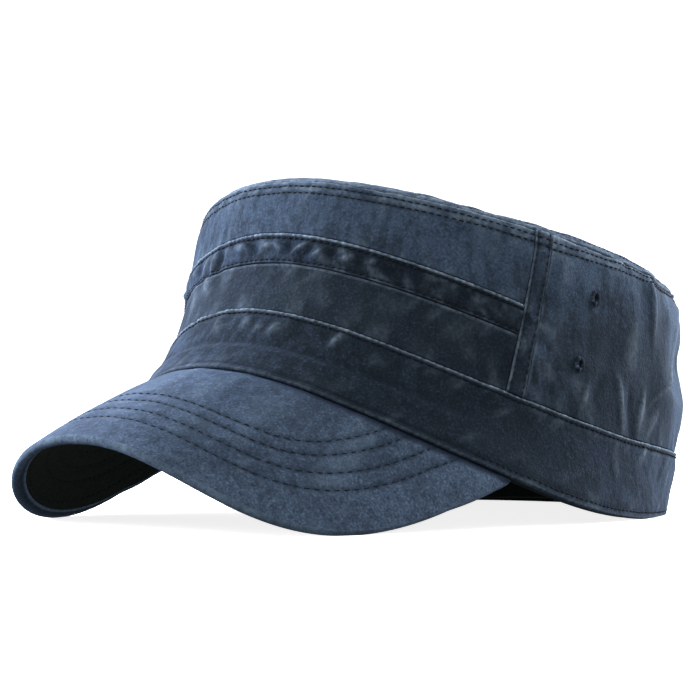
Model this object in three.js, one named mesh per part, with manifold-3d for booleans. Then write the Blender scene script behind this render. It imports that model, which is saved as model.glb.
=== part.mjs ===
// Washed-cotton army cap: a low round crown, a hat band with a sweatband inside it, and a
// short brim that arches across the forehead. Units are millimetres, +Z is up, the brim
// points along -Y and the wearer's left is +X. The cap stands on the plane z = 0 on the
// rear stretch of its rim and on the two drooping sides of the brim.
//
// Angles go round the cap in degrees: 0 at the front, 90 at the wearer's left, 180 at the
// back. Levels go up the cap: 0 is the rim and each whole number is one row of RING_TABLE.

import * as THREE from 'three';
import { mergeVertices } from 'three/addons/utils/BufferGeometryUtils.js';
import loadManifold from 'manifold-3d';

// ---------------------------------------------------------------- driving dimensions

const GAP = 0.3; // clearance left between two pieces that touch
const LENGTHWISE_OFFSET = 10.0; // puts the origin midway between brim and back

// One row for each level line round the cap. front, back and half are the reach of the ring
// forwards, backwards and sideways from its centre, roundness the superellipse power, shift
// how far the centre lies to the rear, and height, tilt, arch and nose the height of the
// ring and its first, second and third wave round the head.
const RING_COLUMNS = ['front', 'back', 'half', 'roundness', 'shift', 'height', 'tilt', 'arch', 'nose'];
const RING_TABLE = {
  rim:        [88.0, 107.8, 89.9, 2.15,  0.0, 16.5, 24.1, 10.0, 1.4],
  flare:      [84.0, 106.0, 87.2, 2.13,  6.2, 26.1, 24.4,  8.0, 1.4],
  bandTop:    [81.3, 105.8, 85.8, 2.12, 11.5, 38.2, 24.9,  6.6, 1.5],
  stripLow:   [78.0, 105.2, 84.8, 2.15, 16.2, 55.1, 25.8,  5.9, 0.0],
  stripTop:   [76.6, 103.0, 83.7, 2.20, 17.2, 65.9, 25.1,  6.0, 0.0],
  shoulder:   [77.6, 100.0, 82.4, 2.15, 21.4, 86.3, 21.8,  3.5, 0.0],
  crest:      [72.5,  94.9, 77.0, 2.14, 22.7, 93.8, 20.0,  0.8, 1.4],
};
const RING_NAMES = Object.keys(RING_TABLE);
const LEVEL = Object.fromEntries(RING_NAMES.map((name, index) => [name, index]));
const TOP_SEAM = LEVEL.shoulder + 0.5; // the seam of the lid runs half way up the shoulder
const LID_CENTRE = LEVEL.crest + 1; // past the crest the level runs in to the lid's middle
const LID_SAG = 4.5; // how far the middle of the lid hangs below its crest

// The rim is pressed flat where it stands: heights below REST_FLAT become zero, and the
// correction fades out at REST_FADE.
const REST_FLAT = 1.2;
const REST_FADE = 24;

// Soft folds and dents of the cloth. depth is positive outwards, angle and level say where
// the middle is, wide (degrees) and tall (levels) how far it spreads, and lean how many
// degrees it drifts for each level upwards.
const FOLD_COLUMNS = ['angle', 'level', 'wide', 'tall', 'depth', 'lean'];
const FOLD_TABLE = [
  [131, 4.1,  8, 0.7, -2.4,   2],
  [118, 3.6,  7, 1.3,  1.4,  -4],
  [144, 3.4,  8, 1.2,  1.6,   3],
  [107, 2.9,  6, 1.0, -1.0,   5],
  [122, 5.4,  8, 0.4, -1.3,   0],
  [163, 3.2, 10, 1.1, -1.8,  -2],
  [ 82, 3.8, 10, 1.0, -0.8,   3],
  [ 30, 4.6, 16, 0.6, -1.0,   0],
  [-24, 4.5, 14, 0.7, -0.9,   0],
  [-78, 3.6, 10, 1.0,  0.9,  -3],
  [-112, 3.8, 8, 1.1, -1.8,   4],
  [-130, 3.4, 9, 1.2,  1.5,   3],
  [-152, 3.9, 9, 1.0, -2.0,  -3],
  [186, 3.6, 10, 1.2,  1.4,   0],
];

// Shallow hollows of the lid, in millimetres from its middle.
const LID_DENT_COLUMNS = ['left', 'rear', 'wide', 'depth'];
const LID_DENT_TABLE = [
  [ 26, -22, 24, -1.6],
  [-30,  10, 28, -1.8],
  [ 12,  38, 22,  1.2],
];

// Cloth walls. proud is how far the outer face stands off the level surface.
const WALL = { proud: 0, thickness: 1.6 };
const FELLED_STRIP = { proud: 0.6, thickness: 2.1 };
const BAND = { proud: 0.7, edgeProud: 0.2, thickness: 2.2, edgeThickness: 1.4 };
const SWEATBAND = { proud: -2.2, thickness: 1.2, low: 0.06, high: 2.3 };

const SEAM_WIDTH = 6.6; // the felled seam down each side of the crown
const SEAM_ANGLE_AT_RIM = 63.3;
const SEAM_ANGLE_PER_LEVEL = 1.25;

// The brim's outer edge is a superellipse seen from above; its height drops to both sides.
const BRIM = {
  halfWidth: 72.8,
  rearReach: 36.8, // how far forward of the rim's centre the widest place lies
  frontReach: 142.0,
  roundness: 2.81,
  frontHeight: 28.3,
  droop: 52.8, // drop at DROOP_REFERENCE to the side
  droopPower: 2.25,
  bulge: 1.8,
  cornerAngle: 69.2, // where the brim's corners meet the rim
  cornerPull: 6, // how late the outer edge turns in to the corner
  thickness: 3.2,
  underThickness: 1.0,
  hem: 3.0, // width of the rolled edge seen from below
  seamGap: 0.6, // clearance below the hat band's lower edge
  steadyAngle: 83, // past this the rulings keep their direction
  tipShare: 0.5, // thickness left at the very corner
  tipLength: 14, // ruling length from which the brim has its full thickness
};
const DROOP_REFERENCE = 80;
const BRIM_RULINGS = 37; // sections that the brim is swept through

// Embroidered vent eyelets, two on each side of the rear panel.
const EYELET = {
  hole: 1.0, barrel: 1.5, flange: 2.3, flangeThickness: 0.5, stretch: 1.2, sides: 12,
  lift: 0.35, // height of the flange's inner face above the wall
};
const EYELET_TABLE = [
  // name, angle, level
  { name: 'upper', angle: 85.9, level: 4.57 },
  { name: 'lower', angle: 81.6, level: 2.97 },
];

const COLOURS = { cloth: 0x3c4a5e, trim: 0x55657a, dark: 0x14191c };

// ---------------------------------------------------------------- the cap's level surface

const radians = THREE.MathUtils.degToRad;
const { clamp, lerp, smoothstep } = THREE.MathUtils;

const rowObject = (columns, row) => Object.fromEntries(columns.map((name, i) => [name, row[i]]));
const FOLDS = FOLD_TABLE.map((row) => rowObject(FOLD_COLUMNS, row));
const LID_DENTS = LID_DENT_TABLE.map((row) => rowObject(LID_DENT_COLUMNS, row));
const ringRow = (index) => RING_TABLE[RING_NAMES[clamp(index, 0, LEVEL.crest)]];

/** Smooth curve through four neighbouring table values, between the middle two. */
function throughFour(a, b, c, d, t) {
  return 0.5 * (2 * b + (c - a) * t + (2 * a - 5 * b + 4 * c - d) * t * t
    + (3 * b - a - 3 * c + d) * t * t * t);
}

/** The ring's sizes at any level from the rim to the crest. */
function ringAt(level) {
  if (level <= LEVEL.shoulder) {
    const below = Math.min(Math.floor(Math.max(level, 0)), LEVEL.shoulder - 1);
    const rows = [-1, 0, 1, 2].map((step) => ringRow(below + step));
    return rowObject(RING_COLUMNS, RING_COLUMNS.map((_, i) => (
      throughFour(rows[0][i], rows[1][i], rows[2][i], rows[3][i], level - below))));
  }
  // The shoulder turns over like a quarter of a round edge.
  const turn = radians(90 * clamp(level - LEVEL.shoulder, 0, 1));
  const low = rowObject(RING_COLUMNS, RING_TABLE.shoulder);
  const high = rowObject(RING_COLUMNS, RING_TABLE.crest);
  const isHeight = (name) => ['height', 'tilt', 'arch', 'nose'].includes(name);
  return rowObject(RING_COLUMNS, RING_COLUMNS.map((name) => (
    lerp(low[name], high[name], isHeight(name) ? Math.sin(turn) : 1 - Math.cos(turn)))));
}

/** Presses heights near the resting plane down onto it. */
function settled(height) {
  return Math.max(0, height - REST_FLAT * (1 - smoothstep(height, REST_FLAT, REST_FADE)));
}

/** Point of the level surface, before folds. */
function surfacePoint(angle, level) {
  const ring = ringAt(level);
  const inward = clamp(LID_CENTRE - level, 0, 1); // 1 on the wall, 0 at the lid's middle
  const sine = Math.sin(radians(angle));
  const cosine = Math.cos(radians(angle));
  const reach = cosine > 0 ? ring.front : ring.back;
  const power = ring.roundness;
  const radius = inward * ((Math.abs(sine) / ring.half) ** power
    + (Math.abs(cosine) / reach) ** power) ** (-1 / power);
  const x = radius * sine;
  const y = ring.shift - radius * cosine;
  const height = ring.height + ring.tilt * inward * cosine
    + ring.arch * inward ** 2 * Math.cos(radians(2 * angle))
    + ring.nose * inward ** 3 * Math.cos(radians(3 * angle));
  const sag = LID_SAG * (1 - inward ** 2) ** 2;
  return new THREE.Vector3(x, y, height - sag + lidDent(x, y - ring.shift, inward));
}

/** Hollows of the lid, fading out at the crest. */
function lidDent(left, rear, inward) {
  const fade = 1 - inward ** 4;
  return fade * LID_DENTS.reduce((sum, dent) => (
    sum + dent.depth * Math.exp(-((left - dent.left) ** 2 + (rear - dent.rear) ** 2)
      / dent.wide ** 2)), 0);
}

/** How far the folds push the cloth out at one place. */
function foldDepth(angle, level) {
  return FOLDS.reduce((sum, fold) => {
    const up = level - fold.level;
    const round = (((angle - fold.angle - fold.lean * up) % 360) + 540) % 360 - 180;
    return sum + fold.depth * Math.exp(-((round / fold.wide) ** 2) - (up / fold.tall) ** 2);
  }, 0) * smoothstep(level, 0.4, 1.6);
}

/** Steps of the level surface round the cap (per degree) and upwards (per level). */
function surfaceSteps(angle, level) {
  const [da, dl] = [0.5, 0.01];
  const round = surfacePoint(angle + da, level).sub(surfacePoint(angle - da, level));
  const up = surfacePoint(angle, level + dl).sub(surfacePoint(angle, level - dl));
  return { round: round.divideScalar(2 * da), up: up.divideScalar(2 * dl) };
}

/** Outward direction of the level surface. */
function surfaceNormal(angle, level) {
  const steps = surfaceSteps(angle, clamp(level, 0.02, LID_CENTRE - 0.05));
  return steps.round.cross(steps.up).normalize();
}

/** Point standing off the level surface, folds included, as the cap stands. */
function clothPoint(angle, level, proud) {
  const offset = proud + foldDepth(angle, level);
  const point = surfacePoint(angle, level).addScaledVector(surfaceNormal(angle, level), offset);
  return point.setZ(settled(point.z));
}

/** The angle that lies so many millimetres round the cap from another one. */
function angleBeside(angle, level, millimetres) {
  return angle + millimetres / surfaceSteps(angle, level).round.length();
}

/** The level that lies so many millimetres up the cap from another one. */
function levelBeside(angle, level, millimetres) {
  return level + millimetres / surfaceSteps(angle, level).up.length();
}

/** Middle of the side seam at a level; side is 1 for the wearer's left and -1 for the right. */
function seamAngle(level, side) {
  return side * (SEAM_ANGLE_AT_RIM + SEAM_ANGLE_PER_LEVEL * level);
}

/** Edge of a piece that lies so many millimetres from the side seam's middle. */
function seamEdge(side, millimetres) {
  return (level) => angleBeside(seamAngle(level, side), level, millimetres);
}

// ---------------------------------------------------------------- solids

/** Splits a quad along its shorter diagonal, so that neighbouring layers bend alike. */
function trianglesOf(points, face) {
  if (face.length === 3) return face;
  const [a, b, c, d] = face;
  const first = points[a].distanceToSquared(points[c]);
  const second = points[b].distanceToSquared(points[d]);
  return first <= second ? [a, b, c, a, c, d] : [a, b, d, b, c, d];
}

/** Geometry of a closed solid from its vertices and quads or triangles. */
function solidGeometry(points, faces) {
  const geometry = new THREE.BufferGeometry();
  geometry.setAttribute('position', new THREE.Float32BufferAttribute(
    points.flatMap((point) => point.toArray()), 3));
  geometry.setIndex(faces.flatMap((face) => trianglesOf(points, face)));
  return geometry;
}

/**
 * Wall of cloth between an outer and an inner grid of points, given as rows going up, each
 * running round the cap. A ring closes on itself, and a lid closes in a point past its last
 * row, given as [outer point, inner point].
 */
function clothWall(outer, inner, { isRing = false, lid = null } = {}) {
  const rows = outer.length;
  const columns = outer[0].length;
  const points = [...outer.flat(), ...inner.flat()];
  const outerAt = (row, column) => row * columns + (column % columns);
  const innerAt = (row, column) => rows * columns + outerAt(row, column);
  const faces = [];
  for (let c = 0; c < (isRing ? columns : columns - 1); c += 1) {
    for (let r = 0; r < rows - 1; r += 1) {
      faces.push([outerAt(r, c), outerAt(r, c + 1), outerAt(r + 1, c + 1), outerAt(r + 1, c)]);
      faces.push([innerAt(r, c), innerAt(r + 1, c), innerAt(r + 1, c + 1), innerAt(r, c + 1)]);
    }
    faces.push([innerAt(0, c), innerAt(0, c + 1), outerAt(0, c + 1), outerAt(0, c)]);
    const last = rows - 1;
    if (lid) {
      const apex = points.length;
      faces.push([outerAt(last, c), outerAt(last, c + 1), apex]);
      faces.push([innerAt(last, c + 1), innerAt(last, c), apex + 1]);
    } else {
      faces.push([outerAt(last, c), outerAt(last, c + 1), innerAt(last, c + 1), innerAt(last, c)]);
    }
  }
  for (let r = 0; r < rows - 1 && !isRing; r += 1) {
    const last = columns - 1;
    faces.push([innerAt(r, 0), outerAt(r, 0), outerAt(r + 1, 0), innerAt(r + 1, 0)]);
    faces.push([outerAt(r, last), innerAt(r, last), innerAt(r + 1, last), outerAt(r + 1, last)]);
  }
  if (lid) points.push(...lid);
  return solidGeometry(points, faces);
}

/**
 * Panel of the wall between two levels and two edges. from and to give the angle of each
 * edge at a level; without them the panel is a ring. proud and thickness are numbers or
 * functions of the level.
 */
function wallPanel({ from, to, low, high, columns, rows, proud, thickness }) {
  const isRing = !from;
  const valueAt = (value, level) => (typeof value === 'function' ? value(level) : value);
  const count = isRing ? columns : columns + 1;
  const layer = (isOuter) => Array.from({ length: rows + 1 }, (_, r) => (
    Array.from({ length: count }, (__, c) => {
      const guess = lerp(low, high, r / rows);
      const angle = isRing ? (360 * c) / columns
        : lerp(from(guess), to(guess), c / columns);
      const lowest = levelBeside(angle, low, low > 0 ? GAP / 2 : 0);
      const highest = levelBeside(angle, high, -GAP / 2);
      const level = lerp(lowest, highest, r / rows);
      const depth = isOuter ? 0 : valueAt(thickness, level);
      return clothPoint(angle, level, valueAt(proud, level) - depth);
    })));
  return clothWall(layer(true), layer(false), { isRing });
}

/** The round lid, from the top seam over the crest to the middle. */
function lidGeometry() {
  const columns = 56;
  const levels = [TOP_SEAM, 5.75, 6, 6.08, 6.25, 6.5, 6.78];
  const layer = (depth) => levels.map((level, row) => (
    Array.from({ length: columns }, (_, c) => {
      const angle = (360 * c) / columns;
      const place = row === 0 ? levelBeside(angle, level, GAP) : level;
      return clothPoint(angle, place, WALL.proud - depth);
    })));
  const middle = surfacePoint(0, LID_CENTRE);
  const middleBelow = middle.clone().setZ(middle.z - WALL.thickness);
  return clothWall(layer(0), layer(WALL.thickness), { isRing: true, lid: [middle, middleBelow] });
}

// ---------------------------------------------------------------- brim

/** The brim's outer edge; swing runs from -90 at the right corner to 90 at the left. */
function brimEdgePoint(swing) {
  const side = Math.sign(swing);
  const sine = Math.abs(Math.sin(radians(swing)));
  const cosine = Math.abs(Math.cos(radians(swing)));
  const corner = clothPoint(BRIM.cornerAngle, LEVEL.rim, 0);
  const pull = (Math.abs(swing) / 90) ** BRIM.cornerPull;
  const power = 2 / BRIM.roundness;
  const ahead = lerp(BRIM.rearReach, BRIM.frontReach, cosine ** power);
  const x = BRIM.halfWidth * sine ** power + pull * (corner.x - BRIM.halfWidth);
  const forward = ahead + pull * (-corner.y - BRIM.rearReach);
  const droopAt = (width) => BRIM.droop * (width / DROOP_REFERENCE) ** BRIM.droopPower;
  const length = BRIM.frontReach - BRIM.rearReach;
  const rearward = clamp((BRIM.frontReach - forward) / length, 0, 1);
  const cornerLift = corner.z - BRIM.frontHeight + droopAt(corner.x);
  const z = BRIM.frontHeight - droopAt(x) + cornerLift * rearward ** 2;
  return new THREE.Vector3(side * x, -forward, z);
}

/** One ruling of the brim: where it starts, its direction, length and normal. */
function brimRuling(swing) {
  const startAt = (place) => {
    const angle = (BRIM.cornerAngle * place) / 90;
    const down = surfaceSteps(angle, LEVEL.rim).up.normalize().multiplyScalar(-BRIM.seamGap);
    return clothPoint(angle, LEVEL.rim, -BRIM.thickness / 2).add(down);
  };
  const middle = (place) => startAt(place).lerp(brimEdgePoint(place), 0.5);
  const steady = clamp(swing, -BRIM.steadyAngle, BRIM.steadyAngle);
  const along = brimEdgePoint(steady).sub(startAt(steady)).normalize();
  const across = middle(steady + 1).sub(middle(steady - 1));
  const normal = along.clone().cross(across).normalize();
  const start = startAt(swing);
  return { start, along, normal, length: start.distanceTo(brimEdgePoint(swing)) };
}

/** Point of the brim, a distance out along a ruling and above its middle surface. */
function brimPoint(ruling, swing, distance, above) {
  const share = clamp(distance / ruling.length, 0, 1);
  const arch = BRIM.bulge * 4 * share * (1 - share) * (1 - (swing / 90) ** 2);
  const point = ruling.start.clone().addScaledVector(ruling.along, distance);
  point.z += arch;
  return point.addScaledVector(ruling.normal, above * thinning(ruling.length));
}

/** Solid swept through closed sections of points; each end closes in its own hub point. */
function sweptSolid(sections, hubs) {
  const size = sections[0].length;
  const end = (sections.length - 1) * size;
  const hub = sections.length * size;
  const faces = [];
  for (let k = 0; k < size; k += 1) {
    const next = (k + 1) % size;
    for (let s = 0; s < end; s += size) {
      faces.push([s + k, s + next, s + size + next, s + size + k]);
    }
    faces.push([next, k, hub]);
    faces.push([end + k, end + next, hub + 1]);
  }
  return solidGeometry([...sections.flat(), ...hubs], faces);
}

/** Distances out along one ruling that both pieces of the brim share. */
function brimStops(length) {
  const share = clamp(length / (BRIM.thickness / 2 + BRIM.hem + 2), 0.2, 1);
  const roll = (BRIM.thickness / 2) * share; // the rounded edge shrinks near the corners
  const hemStart = length - roll - BRIM.hem * share;
  return { roll, hemStart, inner: [0, 0.15, 0.4, 0.7].map((part) => part * hemStart) };
}

/** Share of the brim's full thickness that is left on a short ruling near the corners. */
function thinning(length) {
  return clamp(lerp(BRIM.tipShare, 1, length / BRIM.tipLength), 0, 1);
}

/** Outline of the brim's upper piece across one ruling, with its rolled outer edge. */
function upperBrimOutline(length) {
  const half = BRIM.thickness / 2;
  const { roll, hemStart, inner } = brimStops(length);
  const innerFace = -half + BRIM.underThickness + GAP / thinning(length);
  const upper = [...inner, hemStart].map((distance) => [distance, half]);
  const rolled = [90, 50, 15, -15, -50, -90].map((turn) => (
    [length - roll + roll * Math.cos(radians(turn)), half * Math.sin(radians(turn))]));
  const lower = [[hemStart, -half], [hemStart, innerFace]];
  const back = inner.toReversed().map((distance) => [distance, innerFace]);
  return {
    points: [...upper, ...rolled, ...lower, ...back],
    hub: [hemStart + 0.1 * roll, (half + innerFace) / 2],
  };
}

/** Outline of the brim's under cloth across one ruling. */
function underBrimOutline(length) {
  const half = BRIM.thickness / 2;
  const { hemStart, inner } = brimStops(length);
  const stops = [...inner, hemStart - GAP];
  const upper = stops.map((distance) => [distance, -half + BRIM.underThickness]);
  const lower = stops.toReversed().map((distance) => [distance, -half]);
  return { points: [...upper, ...lower], hub: [hemStart / 2, -half + BRIM.underThickness / 2] };
}

/** One of the brim's two pieces, swept between the corners less so many rulings each side. */
function brimGeometry(outlineAt, omitted) {
  const swings = Array.from({ length: BRIM_RULINGS }, (_, i) => (
    90 * Math.sin(radians(90 * ((2 * i) / (BRIM_RULINGS - 1) - 1)))));
  const parts = swings.slice(omitted, BRIM_RULINGS - omitted).map((swing) => {
    const ruling = brimRuling(swing);
    const place = ([distance, above]) => brimPoint(ruling, swing, distance, above);
    const { points, hub } = outlineAt(ruling.length);
    return { section: points.map(place), hub: place(hub) };
  });
  return sweptSolid(parts.map(({ section }) => section), [parts[0].hub, parts.at(-1).hub]);
}

// ---------------------------------------------------------------- eyelets

/** Places a piece made along +Z on the wall, its +Y running up the cap. */
function wallPlacement(angle, level) {
  const normal = surfaceNormal(angle, level);
  const up = surfaceSteps(angle, level).up.normalize();
  const side = up.clone().cross(normal).normalize();
  const matrix = new THREE.Matrix4().makeBasis(side, normal.clone().cross(side), normal);
  return matrix.setPosition(clothPoint(angle, level, 0));
}

/** Ring of thread: a barrel through the wall with a flange on the outside. */
function eyeletGeometry() {
  const bottom = -WALL.thickness;
  const top = EYELET.lift + EYELET.flangeThickness;
  const profile = [
    [EYELET.hole, bottom], [EYELET.barrel, bottom], [EYELET.barrel, EYELET.lift],
    [EYELET.flange, EYELET.lift], [EYELET.flange - 0.3, top], [EYELET.hole + 0.2, top],
    [EYELET.hole, EYELET.lift], [EYELET.hole, bottom],
  ].map(([radius, height]) => new THREE.Vector2(radius, height));
  const geometry = new THREE.LatheGeometry(profile, EYELET.sides);
  geometry.rotateX(Math.PI / 2);
  geometry.scale(1, EYELET.stretch, 1);
  return geometry;
}

/** Plug that cuts an eyelet's hole. */
function eyeletHoleGeometry() {
  const radius = EYELET.barrel + GAP + 0.1;
  const geometry = new THREE.CylinderGeometry(radius, radius, 4 * WALL.thickness, EYELET.sides);
  geometry.rotateX(Math.PI / 2);
  geometry.scale(1, EYELET.stretch, 1);
  return geometry;
}

// ---------------------------------------------------------------- cutting

const manifold = await loadManifold();
manifold.setup();

/** The same geometry as a manifold solid. */
function toManifold(geometry) {
  const bare = geometry.clone();
  bare.deleteAttribute('normal');
  bare.deleteAttribute('uv');
  const merged = mergeVertices(bare, 1e-4);
  return new manifold.Manifold(new manifold.Mesh({
    numProp: 3,
    vertProperties: new Float32Array(merged.attributes.position.array),
    triVerts: new Uint32Array(merged.index.array),
  }));
}

/** A piece with several others cut out of it. */
function cut(geometry, cutters) {
  const result = cutters.reduce((solid, cutter) => (
    solid.subtract(toManifold(cutter))), toManifold(geometry)).getMesh();
  const cutGeometry = new THREE.BufferGeometry();
  cutGeometry.setAttribute('position', new THREE.BufferAttribute(result.vertProperties, 3));
  cutGeometry.setIndex(new THREE.BufferAttribute(result.triVerts, 1));
  return cutGeometry;
}

// ---------------------------------------------------------------- the pieces

const cap = new THREE.Group();
const MATERIALS = {
  cloth: new THREE.MeshStandardMaterial({ color: COLOURS.cloth, roughness: 0.95, metalness: 0 }),
  trim: new THREE.MeshStandardMaterial({ color: COLOURS.trim, roughness: 0.9, metalness: 0 }),
  dark: new THREE.MeshStandardMaterial({ color: COLOURS.dark, roughness: 0.95, metalness: 0 }),
};

/** Adds one piece to the cap. */
function addPiece(name, geometry, finish) {
  const piece = new THREE.Mesh(geometry, MATERIALS[finish].clone());
  piece.name = name;
  piece.position.y = LENGTHWISE_OFFSET;
  cap.add(piece);
  return piece;
}

const BAND_COLUMNS = 64; // the same for the hat band and the sweatband that it wraps
const panelInset = SEAM_WIDTH / 2 + GAP / 2;
const frontEdges = { from: seamEdge(-1, panelInset), to: seamEdge(1, -panelInset), columns: 30 };
const rightEdge = seamEdge(-1, -panelInset);
const rearEdges = {
  from: seamEdge(1, panelInset),
  to: (level) => rightEdge(level) + 360,
  columns: 46,
};

addPiece('crown_lid', lidGeometry(), 'cloth');
addPiece('front_panel_upper', wallPanel({
  ...frontEdges, ...WALL, low: LEVEL.stripTop, high: TOP_SEAM, rows: 5,
}), 'cloth');
addPiece('front_felled_strip', wallPanel({
  ...frontEdges, ...FELLED_STRIP, low: LEVEL.stripLow, high: LEVEL.stripTop, rows: 1,
}), 'cloth');
addPiece('front_panel_lower', wallPanel({
  ...frontEdges, ...WALL, low: LEVEL.bandTop, high: LEVEL.stripLow, rows: 2,
}), 'cloth');

const eyelets = [1, -1].flatMap((side) => EYELET_TABLE.map(({ name, angle, level }) => ({
  name: `eyelet_${side > 0 ? 'left' : 'right'}_${name}`,
  placement: wallPlacement(side * angle, level),
})));
const rearPanel = wallPanel({ ...rearEdges, ...WALL, low: LEVEL.bandTop, high: TOP_SEAM, rows: 7 });
const eyeletHoles = eyelets.map((eyelet) => eyeletHoleGeometry().applyMatrix4(eyelet.placement));
addPiece('rear_panel', cut(rearPanel, eyeletHoles), 'cloth');
eyelets.forEach(({ name, placement }) => {
  addPiece(name, eyeletGeometry().applyMatrix4(placement), 'trim');
});

[['left', 1], ['right', -1]].forEach(([name, side]) => {
  addPiece(`side_seam_${name}`, wallPanel({
    ...FELLED_STRIP,
    from: seamEdge(side, -(SEAM_WIDTH / 2 - GAP / 2)),
    to: seamEdge(side, SEAM_WIDTH / 2 - GAP / 2),
    columns: 1,
    low: LEVEL.bandTop,
    high: TOP_SEAM,
    rows: 9,
  }), 'trim');
});

addPiece('hat_band', wallPanel({
  low: LEVEL.rim,
  high: LEVEL.bandTop,
  columns: BAND_COLUMNS,
  rows: 5,
  proud: (level) => lerp(BAND.edgeProud, BAND.proud, smoothstep(level, 0, 1)),
  thickness: (level) => lerp(BAND.edgeThickness, BAND.thickness, smoothstep(level, 0, 1)),
}), 'cloth');
addPiece('sweatband', wallPanel({ ...SWEATBAND, columns: BAND_COLUMNS, rows: 3 }), 'dark');

addPiece('brim_upper', brimGeometry(upperBrimOutline, 0), 'cloth');
addPiece('brim_under', brimGeometry(underBrimOutline, 4), 'dark');

export default cap;
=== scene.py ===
"""Visual model of a washed-cotton army cap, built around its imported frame.

Lengths are millimetres until a mesh is made, when they become metres. +Z is up, the brim
points along -Y and the wearer's left is +X. Angles go round the cap in degrees, 0 at the
front and 90 at the wearer's left; levels go up it, each whole number one row of RINGS.
"""
import logging
import math
from collections.abc import Callable
from dataclasses import dataclass, field
from enum import Enum

import bpy
import numpy as np
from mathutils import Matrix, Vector


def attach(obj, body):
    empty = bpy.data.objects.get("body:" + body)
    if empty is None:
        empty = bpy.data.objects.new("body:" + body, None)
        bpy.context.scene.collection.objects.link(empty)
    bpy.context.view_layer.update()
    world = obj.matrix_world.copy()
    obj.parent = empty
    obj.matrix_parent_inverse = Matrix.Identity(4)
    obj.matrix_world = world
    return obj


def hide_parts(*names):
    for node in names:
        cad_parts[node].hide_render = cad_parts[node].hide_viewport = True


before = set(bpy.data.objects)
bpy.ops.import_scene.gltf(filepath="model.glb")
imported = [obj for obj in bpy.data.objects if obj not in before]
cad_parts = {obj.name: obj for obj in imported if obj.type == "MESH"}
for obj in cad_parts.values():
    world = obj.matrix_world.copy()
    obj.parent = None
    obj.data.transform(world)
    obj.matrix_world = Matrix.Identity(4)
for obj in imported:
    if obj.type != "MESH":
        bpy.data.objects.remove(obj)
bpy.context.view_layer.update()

LOG = logging.getLogger("army_cap")
Array = np.ndarray
Colour = tuple[float, float, float]
AngleAt = Callable[[Array], Array]  # gives the angle at each level
Table = tuple[tuple[float, float], ...]  # values at places, with straight lines between them
Stretch = tuple[Array, Array, Array, Array]  # distance out, height, wear and painted crease shade of some rows
MM = 0.001  # metres in a millimetre
SHADES = ("wear", "crease", "inside", "dye")  # what every mesh tells its material, point by point: real wear, painted shade in creases, painted shade on inner faces, and dye with painted light and shade mixed in
RIM, FLARE, BAND_TOP, STRIP_LOW, STRIP_TOP, SHOULDER, CREST = range(7)  # level of each row of RINGS
TOP_SEAM = SHOULDER + 0.5
LID_CENTRE = CREST + 1

# front, back, half, roundness, shift, height, tilt, arch and nose of each level line
RINGS = np.array([
    [88.0, 107.8, 89.9, 2.15, 0.0, 16.5, 24.1, 10.0, 1.4],
    [84.0, 106.0, 87.2, 2.13, 6.2, 26.1, 24.4, 8.0, 1.4],
    [81.3, 105.8, 85.8, 2.12, 11.5, 38.2, 24.9, 6.6, 1.5],
    [78.0, 105.2, 84.8, 2.15, 16.2, 55.1, 25.8, 5.9, 0.0],
    [76.6, 103.0, 83.7, 2.20, 17.2, 65.9, 25.1, 6.0, 0.0],
    [77.6, 100.0, 82.4, 2.15, 21.4, 86.3, 21.8, 3.5, 0.0],
    [72.5, 94.9, 77.0, 2.14, 22.7, 93.8, 20.0, 0.8, 1.4],
])
IS_HEIGHT = np.array([0, 0, 0, 0, 0, 1, 1, 1, 1], dtype=bool)

# angle, level, width in degrees, height in levels, depth outwards and lean of each soft fold
FOLDS = np.array([
    [131, 4.1, 8, 0.7, -2.4, 2],
    [118, 3.6, 7, 1.3, 1.4, -4],
    [144, 3.4, 8, 1.2, 1.6, 3],
    [107, 2.9, 6, 1.0, -1.0, 5],
    [122, 5.4, 8, 0.4, -1.3, 0],
    [163, 3.2, 10, 1.1, -1.8, -2],
    [82, 3.8, 10, 1.0, -0.8, 3],
    [30, 4.6, 16, 0.6, -1.0, 0],
    [-24, 4.5, 14, 0.7, -0.9, 0],
    [-78, 3.6, 10, 1.0, 0.9, -3],
    [-112, 3.8, 8, 1.1, -1.8, 4],
    [-130, 3.4, 9, 1.2, 1.5, 3],
    [-152, 3.9, 9, 1.0, -2.0, -3],
    [186, 3.6, 10, 1.2, 1.4, 0],
])
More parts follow.
